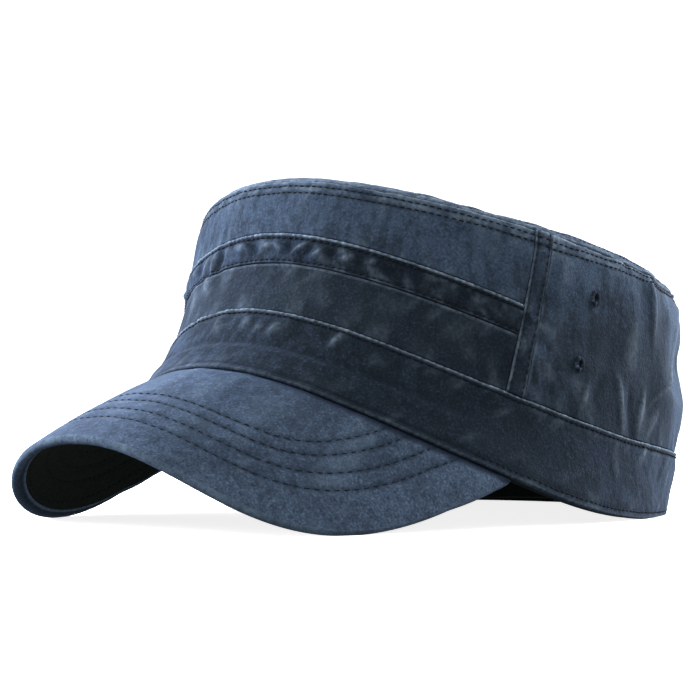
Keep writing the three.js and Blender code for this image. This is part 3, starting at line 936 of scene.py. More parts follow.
@dataclass(frozen=True)
class EdgeStyle:
    """How one edge of a panel is made: its fold, its stitches and its puckers."""

    fold: float = 0.35  # radius that the cloth rolls over at the edge
    wear: float = 0.0  # how pale the fold is rubbed
    stitches: tuple[float, ...] = ()  # distance of each stitch row from the edge
    groove: float = 0.3  # how deep a stitch row pulls the cloth in
    pucker: float = 0.0  # height of the gathers that start at the edge
    reach: float = 8.0  # how far those gathers run in
    pitch: float = 5.0  # distance between gathers
    haze: float = 0.0  # how rubbed the cloth is between the edge and its last row
    taper: float = 0.0  # how much nearer the rows come to the edge for each degree behind the seams
    row: StitchRow = StitchRow()

    def place(self, gap: float, angle: Array) -> Array:
        """Distance of a stitch row from the edge at each angle."""
        behind = np.abs(signed(angle)) - TAPER_FROM
        return np.maximum(gap - self.taper * np.clip(behind, 0, None), NEAREST_ROW)


@dataclass(frozen=True)
class Profile:
    """A measure across the wall, easing from its value at the rim to its full one."""

    full: float
    rim: float | None = None

    def at(self, level: Array) -> Array:
        """The measure at each level."""
        rim = self.full if self.rim is None else self.rim
        return rim + (self.full - rim) * smooth_step(level, RIM, FLARE)


@dataclass
class WallPanel:
    """A panel of the cap's wall, dressed in fine folds, puckers and topstitching."""

    name: str
    slot: str
    finish: Finish
    low: float
    high: float
    edges: dict[Side, EdgeStyle]
    start: AngleAt | None = None
    end: AngleAt | None = None
    proud: Profile = Profile(0.0)
    thickness: Profile = Profile(1.6)
    gap: float = 0.12  # room left at its low and high edges
    step: float = 1.15  # distance between its grid points
    unevenness: float = 0.35  # height of its soft waves
    rub: float = 0.5  # how rubbed the ridges of its creases are
    holes: tuple["Eyelet", ...] = ()
    creases: Array = field(default_factory=lambda: CREASES)
    dye: Table = ((0.0, 0.0),)  # how much paler the cloth is painted at each level: some real fading, with painted light higher up and painted shade lower down
    tone_and_light: Table = ((0.0, 0.0),)  # the same by angle, added to it: painted light where the lamps reach and painted shade where they miss, with some real fading
    seed: int = 1
    backing: "WallPanel | None" = None  # its seam allowance, behind the panels that it joins
    hidden: float = 0.0  # 1 where even its outer surface is painted in shade, as it lies in the dark
    is_closed: bool = True  # whether a ring's stitch rows run on into their own start

    def __post_init__(self) -> None:
        """Works out the grid and its surface."""
        self.is_ring = self.start is None
        self.lay_out()
        for hole in self.holes:
            hole.open_grid(self)
        self.shape()

    def lay_out(self) -> None:
        """Lays out the grid of angles and levels, with finer rows along the edges."""
        middle = at((self.low + self.high) / 2)
        first = 0.0 if self.is_ring else float(self.start(middle))
        last = 360.0 if self.is_ring else float(self.end(middle))
        width = cumulative(FORM.surface(np.linspace(first, last, 200), middle), 0)[-1]
        centre = at((first + last) / 2)
        height = cumulative(FORM.surface(centre, np.linspace(self.low, self.high, 60)), 0)[-1]
        rows = self.shares(float(height))[:, None]
        columns = int(width / self.step)
        across = np.arange(columns) / columns if self.is_ring else self.shares(float(width))
        guess = self.low + (self.high - self.low) * rows * np.ones_like(across)
        start = 180.0 if self.is_ring else self.start(guess)
        end = 540.0 if self.is_ring else self.end(guess)
        self.angle = start + (end - start) * (across + np.zeros_like(guess))
        low = self.low + self.levels_for(self.gap, self.low) * (self.low > RIM)
        high = self.high - self.levels_for(self.gap, self.high)
        self.level = low + (high - low) * rows

    def shares(self, width: float) -> Array:
        """Grid places across a width, as shares of it: close together at both edges.

        Args:
            width: Millimetres across.

        Returns:
            The places, from 0 to 1.
        """
        near = EDGE_ROWS[EDGE_ROWS < 0.4 * width]
        inner = np.linspace(0, width, max(int(width / self.step), 2) + 1)
        inner = inner[(inner > near[-1] + 0.5) & (inner < width - near[-1] - 0.5)]
        return np.concatenate([near, inner, (width - near)[::-1]]) / width

    def levels_for(self, millimetres: float, level: float) -> Array:
        """How many levels a distance up the wall spans, at every grid angle."""
        _, upward = FORM.steps(self.angle, np.full_like(self.angle, level))
        return millimetres / np.linalg.norm(upward, axis=-1)

    def shape(self) -> None:
        """Works out the outer and inner surfaces and their shades."""
        base = FORM.surface(self.angle, self.level)
        rise, run = cumulative(base, 0), cumulative(base, 1)
        self.distance = {Side.LOW: rise, Side.HIGH: rise[-1:] - rise,
                         Side.START: run, Side.END: run[:, -1:] - run}
        own = self.extra(base)
        folds = FORM.folds(self.angle, self.level, self.creases) + own
        soft = (0.6 * lattice_noise(base, 17.0, self.seed)
                + 0.4 * lattice_noise(base, 6.5, self.seed + 5))
        self.offset = self.proud.at(self.level) + folds + self.unevenness * soft
        self.wear = self.rub * clamp(folds - 0.7 * own - 0.15) + 0.1 * clamp(soft) ** 2
        # painted shade where the folds and soft waves sink in
        self.crease = 0.6 * clamp(-folds) + 0.35 * clamp(-soft) ** 1.5
        for side, style in self.edges.items():
            self.dress_edge(side, style, base)
        inside = self.proud.at(self.level) - self.thickness.at(self.level)
        self.normals = FORM.normal(self.angle, self.level)
        self.outer = FORM.cloth(self.angle, self.level, self.offset)
        self.inner = FORM.cloth(self.angle, self.level, inside)
        self.wear, self.crease = clamp(self.wear), clamp(self.crease)

    def dress_edge(self, side: Side, style: EdgeStyle, base: Array) -> None:
        """Adds an edge's puckers, stitch grooves, rubbing and fold to the relief, with painted
        shade where the puckers and grooves sink.

        Args:
            side: The edge.
            style: How it is made.
            base: The grid's points on the level surface.
        """
        gap = self.distance[side]
        has_rows = bool(style.stitches)
        ridge, rubbed = self.gathers(style, side)
        self.offset = self.offset + ridge
        self.wear = self.wear + rubbed
        # painted shade where the puckers sink
        self.crease = self.crease + 0.9 * clamp(-ridge)
        for distance in style.stitches:
            away = gap - style.place(distance, self.angle)
            self.offset = self.offset - style.groove * bell(away, GROOVE_WIDTH)
            # painted shade in the stitch groove
            self.crease = self.crease + GROOVE_SHADE * style.groove * bell(away, SHADE_WIDTH)
        chafe = 0.85 + 0.4 * lattice_noise(base, 1.6, self.seed + 9)
        beads = np.cos(self.distance[Side.START] * 2 * math.pi / style.row.pitch)
        near = 1 - smooth_step(gap, 0.6, 1.1)
        self.wear = self.wear + style.wear * chafe * near * (0.75 + 0.25 * beads * has_rows)
        if style.haze:
            speckle = clamp(0.4 + lattice_noise(base, 1.5, self.seed + 2)
                              + 0.5 * lattice_noise(base, 6.0, self.seed + 4))
            band = 1 - smooth_step(gap - style.place(max(style.stitches), self.angle), -0.6, 0.4)
            self.wear = self.wear + style.haze * speckle * band
        inset = clamp(1 - gap / style.fold)
        self.offset = self.offset - style.fold * (1 - np.sqrt(1 - inset ** 2))
        if has_rows and style.wear > FULLY_WORN:
            self.offset = self.offset + BEAD_HEIGHT * beads * near

    def extra(self, base: Array) -> Array:
        """Relief of a panel's own, none on a plain one."""
        return np.zeros(base.shape[:-1])

    def gathers(self, style: EdgeStyle, side: Side) -> tuple[Array, Array]:
        """Puckers that run in from a stitched edge.

        Args:
            style: The edge's style.
            side: The edge that they start from.

        Returns:
            The height of the puckers, and how rubbed their ridges are.
        """
        gap = self.distance[side]
        if style.pucker == 0:
            return np.zeros_like(gap), np.zeros_like(gap)
        salt = self.seed * 10 + list(Side).index(side)
        is_upright = side in (Side.LOW, Side.HIGH)
        along = self.distance[Side.START if is_upright else Side.LOW] + 0.35 * gap
        if self.is_ring:
            size = float(self.distance[Side.START][:, -1].mean()) / (2 * math.pi)
            ways = [size * np.cos(along / size), size * np.sin(along / size)]
        else:
            ways = [along, np.zeros_like(along)]
        flat = np.stack([*ways, 0.6 * gap * style.pitch / style.reach], axis=-1)
        wave = (lattice_noise(flat, 0.62 * style.pitch, salt)
                + 0.4 * lattice_noise(flat, 0.3 * style.pitch, salt + 3))
        strength = 0.65 + 0.35 * lattice_noise(flat, 4 * style.pitch, salt + 7)
        strength = strength * bell(np.maximum(gap - 0.25 * style.reach, 0), 0.75 * style.reach)
        rubbed = 1.1 * style.pucker * clamp(wave - 0.12) ** 1.2 * strength
        return style.pucker * wave * strength, rubbed

    def line_at(self, side: Side, gap: Array) -> tuple[Array, Array]:
        """Where a line runs at a distance from an edge.

        Args:
            side: The edge.
            gap: The distance from it at every grid point.

        Returns:
            The line's points and the outward directions there.
        """
        grids = [self.distance[side] - gap, self.outer, self.normals]
        if side in (Side.START, Side.END):
            grids = [grid.swapaxes(0, 1) for grid in grids]
        if side in (Side.HIGH, Side.END):
            grids = [grid[::-1] for grid in grids]
        distance, points, normals = grids
        line, after = crossing(distance, points)
        return line, normals[after, np.arange(len(after))]

    def make(self, wardrobe: Wardrobe) -> bpy.types.Object:
        """Builds the panel and seats it in place of its CAD node.

        Args:
            wardrobe: Where its material comes from.

        Returns:
            The panel's object.
        """
        parts = MeshParts()
        self.fill(parts)
        if self.backing:
            self.backing.fill(parts)
        piece = parts.build(f"{self.name}_cloth", wardrobe.get(self.finish))
        return seat(piece, self.slot, self.name)

    def fill(self, parts: MeshParts) -> None:
        """Adds the panel's closed surface and its shades to a mesh.

        Args:
            parts: The mesh.
        """
        faces = np.concatenate([self.sheet_faces(), self.rim_faces()])
        none = np.zeros_like(self.wear)
        # painted light and shade, with some real fading, by level and by angle
        dye = look_up(self.level, self.dye) + look_up(signed(self.angle), self.tone_and_light)
        # inner faces, and the outer faces of hidden pieces, are painted in shade through the inside
        # shade
        parts.add(np.stack([self.outer, self.inner]), faces, wear=np.stack([self.wear, none]),
                  crease=np.stack([self.crease, none]), dye=np.stack([dye, dye]),
                  inside=np.stack([none + self.hidden, none + 1]))

    def sheet_faces(self) -> Array:
        """Quads of the outer and inner surfaces.

        Returns:
            The quads, with the walls of the holes that take the place of some.
        """
        outer = grid_faces(*self.angle.shape, self.is_ring)
        size = self.angle.size
        middles = self.outer.reshape(-1, 3)[outer].mean(axis=1)
        solid = np.ones(len(outer), dtype=bool)
        for hole in self.holes:
            solid[np.argmin(np.linalg.norm(middles - hole.centre(), axis=-1))] = False
        after = np.roll(outer[~solid], -1, axis=1)
        walls = np.stack([outer[~solid], after, after + size, outer[~solid] + size], axis=-1)
        return np.concatenate([outer[solid], outer[solid][:, ::-1] + size, walls.reshape(-1, 4)])

    def rim_faces(self) -> Array:
        """Quads that close the panel's edges.

        Returns:
            The quads.
        """
        rows, columns = self.angle.shape
        size = rows * columns
        count = columns if self.is_ring else columns - 1
        here = np.arange(count)
        there = (here + 1) % columns
        top = (rows - 1) * columns
        faces = [np.stack([here + size, there + size, there, here], axis=-1),
                 np.stack([here, there, there + size, here + size], axis=-1) + top]
        if not self.is_ring:
            first = np.arange(rows - 1) * columns
            above = first + columns
            last = columns - 1
            faces.append(np.stack([first + size, first, above, above + size], axis=-1))
            faces.append(np.stack([first, first + size, above + size, above], axis=-1) + last)
        return np.concatenate(faces)

    def stitch(self, parts: MeshParts) -> None:
        """Adds the panel's topstitching to a mesh of thread.

        Args:
            parts: The mesh of thread.
        """
        for side, style in self.edges.items():
            for gap in style.stitches:
                line, normals = self.line_at(side, style.place(gap, self.angle))
                if self.is_ring and self.is_closed:
                    line, normals = np.append(line, line[:1], 0), np.append(normals, normals[:1], 0)
                style.row.add_to(parts, line, normals)


def lining_panel(name: str, low: float, high: float, proud: float, thickness: float, step: float,
                 **more: object) -> WallPanel:
    """A smooth panel that lies inside the wall, dark with painted shade.

    Args:
        name: Its name.
        low: The level it starts at.
        high: The level it ends at.
        proud: How far its outer surface stands off the level surface.
        thickness: Its thickness.
        step: Distance between its grid points.
        **more: Other fields of the panel.

    Returns:
        The panel.
    """
    edges = {Side.LOW: EdgeStyle(), Side.HIGH: EdgeStyle()}
    return WallPanel(name, "dark_lining", Finish.SHADED_LINING, low, high, edges, proud=Profile(proud),
                     thickness=Profile(thickness), step=step, unevenness=0.0, creases=NO_CREASES,
                     **more)


@dataclass
class BandPanel(WallPanel):
    """The hat band, creased along its middle where the brim pushes it out."""

    crease_level: float = 1.0
    crease_depth: float = 0.55
    crease_rise: float = 0.0016  # levels it climbs for each degree from the front
    front: float = 52.0  # degrees either side of the front that the crease reaches
    fade: float = 14.0  # degrees over which it fades in and out
    is_closed: bool = False

    def extra(self, base: Array) -> Array:
        """The crease, with a soft ridge under it.

        Args:
            base: The grid's points on the level surface.

        Returns:
            Millimetres outwards.
        """
        away = np.abs(signed(self.angle))
        near = smooth_step(-away, -self.front - self.fade, -self.front + self.fade)
        up = self.level - self.crease_level - self.crease_rise * away
        return near * self.crease_depth * (bell(up + 0.22, 0.16) - bell(up, 0.12))

    def line_at(self, side: Side, gap: Array) -> tuple[Array, Array]:
        """Where a stitch row runs; the row along the rim stops where the brim is sewn in.

        Args:
            side: The edge.
            gap: The distance from it at every grid point.

        Returns:
            The line's points and the outward directions there.
        """
        line, normals = super().line_at(side, gap)
        middle = line.shape[0] // 2
        line, normals = np.roll(line, -middle, 0), np.roll(normals, -middle, 0)
        if side is Side.LOW:
            behind = np.abs(signed(np.roll(self.angle[0], -middle))) > self.front + 8
            return line[behind], normals[behind]
        return np.append(line, line[:1], 0), np.append(normals, normals[:1], 0)


@dataclass
class Lid(WallPanel):
    """The crown's flat top, a ring whose last row closes over its middle."""

    pole: float = 0.012  # levels left open at the middle, closed by one flat patch
    way: float = 99.0  # nominal distance from the seam to the middle
    fine: float = 24.0  # how much of it has the fine rows
    coarse: float = 2.2  # distance between the rows further in

    def lay_out(self) -> None:
        """Lays out rows that widen towards the middle."""
        radius = float(np.linalg.norm(RINGS[CREST, :2])) / math.sqrt(2)
        columns = 2 * int(math.pi * radius / self.step)
        width = 2.5 * self.fine
        near = self.shares(width) * width
        near = near[near < self.fine]
        far = np.arange(near[-1] + 1.6, self.way - 4.0, self.coarse)
        share = np.concatenate([near, far, [self.way - 1.5, self.way]]) / self.way
        self.angle = np.ones((len(share), 1)) * (180 + 360 * np.arange(columns) / columns)
        low = self.low + self.levels_for(self.gap, self.low)
        self.level = low + (self.high - self.pole - low) * self.spread(share)[:, None]

    def spread(self, share: Array) -> Array:
        """Turns shares of the way to the middle into shares of the levels.

        Args:
            share: Shares of the way along the surface.

        Returns:
            Shares of the levels.
        """
        levels = np.linspace(self.low, self.high - self.pole, 400)
        side = cumulative(FORM.surface(np.full_like(levels, 90.0), levels), 0)
        return np.interp(share * side[-1], side, np.linspace(0, 1, 400))

    def rim_faces(self) -> Array:
        """Quads that close the outer edge, and the patches over the middle.

        Returns:
            The quads.
        """
        rows, columns = self.angle.shape
        size = rows * columns
        here = np.arange(columns)
        there = (here + 1) % columns
        edge = np.stack([here + size, there + size, there, here], axis=-1)
        near = np.arange(columns // 2 - 1)
        patch = np.stack([near, near + 1, columns - 2 - near, columns - 1 - near], axis=-1)
        patch = patch + (rows - 1) * columns
        return np.concatenate([edge, patch, patch[:, ::-1] + size])


# ------------------------------------------------------------------ eyelets


@dataclass(frozen=True)
class Eyelet:
    """A sewn eyelet: satin stitches that wrap the edge of a small hole."""

    name: str
    angle: float
    level: float
    hole: float = 1.0  # radius inside the threads
    barrel: float = 1.5  # radius of the ring behind the cloth
    flange: float = 2.3  # radius of the ring on the cloth
    height: float = 0.85  # how far the ring stands off the level surface
    stretch: float = 1.2  # how much taller than wide it is
    threads: int = 26
    opening: float = 1.65  # radius of the hole in the cloth
    push: float = 5.0  # how far round the hole the cloth's grid is moved

    def frame(self) -> tuple[Array, Array, Array]:
        """Directions round the cap, up it and out of it.

        Returns:
            The three directions.
        """
        angle, level = at(self.angle), at(self.level)
        normal = FORM.normal(angle, level)
        side = unit(np.cross(unit(FORM.steps(angle, level)[1]), normal))
        return side, np.cross(normal, side), normal

    def centre(self) -> Array:
        """The middle of the hole on the cloth."""
        return FORM.cloth(at(self.angle), at(self.level), at(0.0))

    def open_grid(self, panel: WallPanel) -> None:
        """Moves a panel's grid so that one quad opens evenly round the hole.

        Args:
            panel: The panel, whose angles and levels change.
        """
        across, upward = FORM.steps(at(self.angle), at(self.level))
        degree, rise = np.linalg.norm(across), np.linalg.norm(upward)
        right = signed(panel.angle - self.angle) * degree
        high = (panel.level - self.level) * rise / self.stretch
        middle_right = (right[:-1, :-1] + right[1:, 1:]) / 2
        middle_high = (high[:-1, :-1] + high[1:, 1:]) / 2
        off_centre = np.hypot(middle_right, middle_high)
        nearest = np.unravel_index(np.argmin(off_centre), off_centre.shape)
        ease = bell(np.hypot(right, high), self.push)
        right = right - middle_right[nearest] * ease
        high = high - middle_high[nearest] * ease
        away = np.maximum(np.hypot(right, high), 1e-6)
        opened = self.opening + (self.push - self.opening) * away / self.push
        target = np.where(away < self.push, opened, away)
        shift = target / away - 1
        move_right = right * (1 + shift) + middle_right[nearest] * ease * (away >= self.push)
        move_high = high * (1 + shift) + middle_high[nearest] * ease * (away >= self.push)
        is_near = away < 2 * self.push
        panel.angle = np.where(is_near, self.angle + move_right / degree, panel.angle)
        panel.level = np.where(is_near, self.level + move_high * self.stretch / rise, panel.level)

    def make(self, wardrobe: Wardrobe) -> bpy.types.Object:
        """Builds the ring of satin stitches.

        Args:
            wardrobe: Where its material comes from.

        Returns:
            The eyelet's object.
        """
        side, upward, normal = self.frame()
        turns = np.linspace(0, 2 * math.pi, self.threads * 6, endpoint=False)
        rib = 0.5 + 0.5 * np.cos(turns * self.threads)
        jitter = lattice_noise(np.stack([np.cos(turns), np.sin(turns)], -1), 0.3, 11)
        rows = []
        for radius, height, swell in self.section():
            reach = radius + swell * (rib - 0.5) * 1.2 + 0.09 * jitter * (swell > 0.05)
            lift = height + swell * (rib - 0.6)
            rows.append(self.centre() + side * (reach * np.cos(turns))[:, None]
                        + upward * (self.stretch * reach * np.sin(turns))[:, None]
                        + normal * lift[:, None])
        count = len(turns)
        faces = grid_faces(len(rows), count, True, flip=True)
        close = np.arange(count)
        last = (len(rows) - 1) * count
        after = (close + 1) % count
        inner = np.stack([after, close, last + close, last + after], axis=-1)
        faces = np.append(faces, inner, 0)
        parts = MeshParts()
        # pale specks on the threads: painted highlights
        rubbed = clamp(1.6 * jitter - 0.3) * np.ones((len(rows), 1))
        parts.add(np.stack(rows), faces, wear=rubbed)
        piece = parts.build(f"{self.name}_thread", wardrobe.get(Finish.EYELET))
        return seat(piece, "thread", self.name)

    def section(self) -> tuple[tuple[float, float, float], ...]:
        """Radius, height and thickness of the threads, from the barrel's inside to its outside.

        Returns:
            One row for each ring of vertices.
        """
        below = -1.5
        return ((self.hole, below, 0.0), (self.hole, 0.2, 0.03), (self.hole + 0.08, 0.62, 0.07),
                (self.hole + 0.35, self.height, 0.1), (self.flange - 0.5, self.height - 0.05, 0.1),
                (self.flange - 0.12, 0.5, 0.12), (self.flange, 0.12, 0.1),
                (self.barrel, 0.05, 0.0), (self.barrel, below, 0.0))


# ------------------------------------------------------------------ sub-assemblies


@dataclass
class Crown:
    """The crown: front panels, felled strip, rear panel, side seams and lid."""

    wardrobe: Wardrobe
    seam_width: float = 6.6  # of the strips down the sides
    gap: float = 0.12  # room between those strips and the panels
    upper_eyelet: tuple[float, float] = (85.9, 4.57)  # angle and level
    lower_eyelet: tuple[float, float] = (81.6, 2.97)
    strip_proud: float = 0.6  # how far every strip stands off the level surface
    strip_thickness: float = 2.1

    def __post_init__(self) -> None:
        """Lays out every panel."""
        inset = self.seam_width / 2 + self.gap
        front = {"start": FORM.seam_edge(-1, inset), "end": FORM.seam_edge(1, -inset)}
        rear = {"start": FORM.seam_edge(1, inset), "end": FORM.seam_edge(-1, -inset, 360.0)}
        self.eyelets = [Eyelet(f"eyelet_{name}_{place}", side * angle, level)
                        for name, side in (("left", 1), ("right", -1))
                        for place, (angle, level) in (("upper", self.upper_eyelet),
                                                      ("lower", self.lower_eyelet))]
        self.panels = [*self.front_panels(front), self.rear_panel(rear), *self.side_seams(),
                       self.lid()]

    def front_panels(self, ends: dict[str, AngleAt]) -> list[WallPanel]:
        """The front's two panels and the felled strip between them.

        Args:
            ends: Where they start and end, as fields of a panel.

        Returns:
            The panels.
        """
        plain = dict.fromkeys((Side.START, Side.END), EdgeStyle(pucker=0.25, reach=7))
        upper = {Side.LOW: EdgeStyle(pucker=0.25, reach=7, pitch=6),
                 Side.HIGH: EdgeStyle(fold=0.6, wear=0.6, stitches=(2.2, 4.6), pucker=0.3, pitch=6,
                                      haze=0.45)}
        strip = {Side.LOW: EdgeStyle(wear=0.1, stitches=(0.9,), pucker=0.3, pitch=5.4, reach=6),
                 Side.HIGH: EdgeStyle(fold=0.5, wear=1.0, stitches=(1.6,), groove=0.5, pucker=0.3,
                                      pitch=5.4, reach=6, row=StitchRow(radius=0.3, lift=0.06))}
        lower = {Side.LOW: EdgeStyle(pucker=0.3, pitch=7, reach=8),
                 Side.HIGH: EdgeStyle(wear=0.35, pucker=0.2, pitch=7)}
        # the upper panel is painted paler towards the top and the lower one darker: painted light
        # and shade, with some real fading
        return [
            WallPanel("front_panel_upper", "crown_twill", Finish.CROWN, STRIP_TOP, TOP_SEAM,
                      plain | upper, dye=((STRIP_TOP, 0.1), (TOP_SEAM, 0.45)), tone_and_light=UPPER_TONE_AND_LIGHT,
                      seed=3, **ends),
            WallPanel("front_felled_strip", "seam_twill", Finish.SEAM, STRIP_LOW, STRIP_TOP,
                      plain | strip, step=0.7, proud=Profile(self.strip_proud),
                      thickness=Profile(self.strip_thickness), creases=STRIP_CREASES,
                      dye=((STRIP_LOW, -0.3),), tone_and_light=STRIP_TONE_AND_LIGHT, seed=4, **ends,
                      backing=self.allowance(STRIP_LOW - 0.25, STRIP_TOP + 0.2,
                                             FORM.seam_edge(-1, self.seam_width + 0.5),
                                             FORM.seam_edge(1, -self.seam_width - 0.5))),
            WallPanel("front_panel_lower", "crown_twill", Finish.CROWN, BAND_TOP, STRIP_LOW,
                      plain | lower, dye=((BAND_TOP, -0.85), (STRIP_LOW, -0.75)),
                      tone_and_light=((-60, 0.1), (0, 0.05), (45, -0.1)), unevenness=0.25, seed=5, **ends),
        ]

    def rear_panel(self, ends: dict[str, AngleAt]) -> WallPanel:
        """The one-piece back and sides, with its sewn eyelets.

        Args:
            ends: Where it starts and ends, as fields of a panel.

        Returns:
            The panel.
        """
        edges = {Side.START: EdgeStyle(wear=0.35, pucker=0.35, reach=9, pitch=7),
                 Side.END: EdgeStyle(wear=0.35, pucker=0.35, reach=9, pitch=7),
                 Side.LOW: EdgeStyle(pucker=0.45, reach=12, pitch=8),
                 Side.HIGH: EdgeStyle(fold=0.6, wear=0.6, stitches=(3.0, 5.4), pucker=0.45, pitch=7,
                                      haze=0.45, taper=0.075)}
        # the rear is painted darker low down and paler high up: painted shade and light, with some
        # real fading
        dye = ((BAND_TOP, -1.3), (STRIP_TOP, -1.0), (SHOULDER, 0.0), (TOP_SEAM, 0.3))
        return WallPanel("rear_panel", "crown_twill", Finish.CROWN, BAND_TOP, TOP_SEAM, edges,
                         unevenness=0.5, holes=tuple(self.eyelets), seed=6, dye=dye,
                         tone_and_light=REAR_TONE_AND_LIGHT, **ends)

    def side_seams(self) -> list[WallPanel]:
        """The stitched strip over each side seam.

        Returns:
            The left and the right strip.
        """
        inset = self.seam_width / 2 - self.gap
        style = EdgeStyle(fold=0.4, wear=0.45, stitches=(0.9,), groove=0.2, pucker=0.3, reach=5,
                          pitch=6, row=StitchRow(radius=0.17))
        edges = {Side.START: style, Side.END: style, Side.LOW: EdgeStyle(),
                 Side.HIGH: EdgeStyle(fold=0.5, wear=0.6, stitches=(2.6, 5.0), haze=0.3)}
        # painted shade low down and painted light high up
        dye = ((STRIP_LOW, -0.6), (STRIP_TOP, -0.4), (SHOULDER, 0.3))
        return [WallPanel(f"side_seam_{name}", "seam_twill", Finish.CROWN, BAND_TOP, TOP_SEAM,
                          edges, start=FORM.seam_edge(side, -inset),
                          end=FORM.seam_edge(side, inset), proud=Profile(self.strip_proud),
                          thickness=Profile(self.strip_thickness), unevenness=0.2, dye=dye,
                          backing=self.allowance(BAND_TOP + 0.34, SHOULDER + 0.1,
                                                 FORM.seam_edge(side, -self.seam_width),
                                                 FORM.seam_edge(side, self.seam_width)), seed=seed)
                for name, side, seed in (("left", 1, 7), ("right", -1, 8))]

    def lid(self) -> Lid:
        """The flat top with its raised, stitched rim.

        Returns:
            The panel.
        """
        edge = EdgeStyle(fold=0.7, wear=0.9, stitches=(3.2,), groove=0.5, pucker=0.5, reach=7,
                         pitch=8, row=StitchRow(lift=-0.08))
        # the lid is painted paler at its seam and darker at its middle: painted light and shade
        return Lid("crown_lid", "crown_twill", Finish.CROWN, TOP_SEAM, LID_CENTRE, {Side.LOW: edge},
                   unevenness=0.6, dye=((TOP_SEAM, 0.2), (CREST + 0.2, -0.45)), seed=9,
                   backing=self.allowance(SHOULDER + 0.15, TOP_SEAM + 0.3))

    @staticmethod
    def allowance(low: float, high: float, start: AngleAt | None = None,
                  end: AngleAt | None = None) -> WallPanel:
        """Cloth turned in behind a seam, which closes the gaps beside it, painted in shade."""
        return lining_panel("seam_allowance", low, high, -1.72, 0.5, 2.5, start=start, end=end,
                            hidden=1.0)

    def make(self) -> None:
        """Builds the panels, their topstitching and the eyelets."""
        threads = MeshParts()
        for panel in self.panels:
            panel.make(self.wardrobe)
            panel.stitch(threads)
        for eyelet in self.eyelets:
            eyelet.make(self.wardrobe)
        seat(threads.build("crown_topstitching", self.wardrobe.get(Finish.THREAD)), "thread")


@dataclass
class HatBand:
    """The folded band round the rim and the sweatband inside it."""

    wardrobe: Wardrobe
    proud: Profile = Profile(0.7, rim=0.2)
    thickness: Profile = Profile(2.2, rim=1.4)
    sweat_proud: float = -2.2
    sweat_thickness: float = 1.2
    sweat_levels: tuple[float, float] = (0.06, 2.3)

    def make(self) -> None:
        """Builds both bands and their stitching."""
        edges = {Side.LOW: EdgeStyle(fold=0.5, wear=0.15, stitches=(2.4,), pucker=0.25, pitch=7),
                 Side.HIGH: EdgeStyle(fold=0.55, wear=1.0, stitches=(1.6,), groove=0.5, pucker=0.4,
                                      reach=8, pitch=6.5, row=StitchRow(radius=0.3, lift=0.06))}
        band = BandPanel("hat_band", "band_twill", Finish.BAND, RIM, BAND_TOP, edges,
                         proud=self.proud, thickness=self.thickness, creases=BAND_CREASES,
                         tone_and_light=BAND_TONE_AND_LIGHT, step=0.85, seed=12)
        # the sweatband is near-black lining, painted shade inside the crown
        sweat = lining_panel("sweatband", *self.sweat_levels, self.sweat_proud,
                             self.sweat_thickness, 2.0, seed=13)
        band.make(self.wardrobe)
        sweat.make(self.wardrobe)
        threads = MeshParts()
        band.stitch(threads)
        seat(threads.build("band_topstitching", self.wardrobe.get(Finish.THREAD)), "thread")


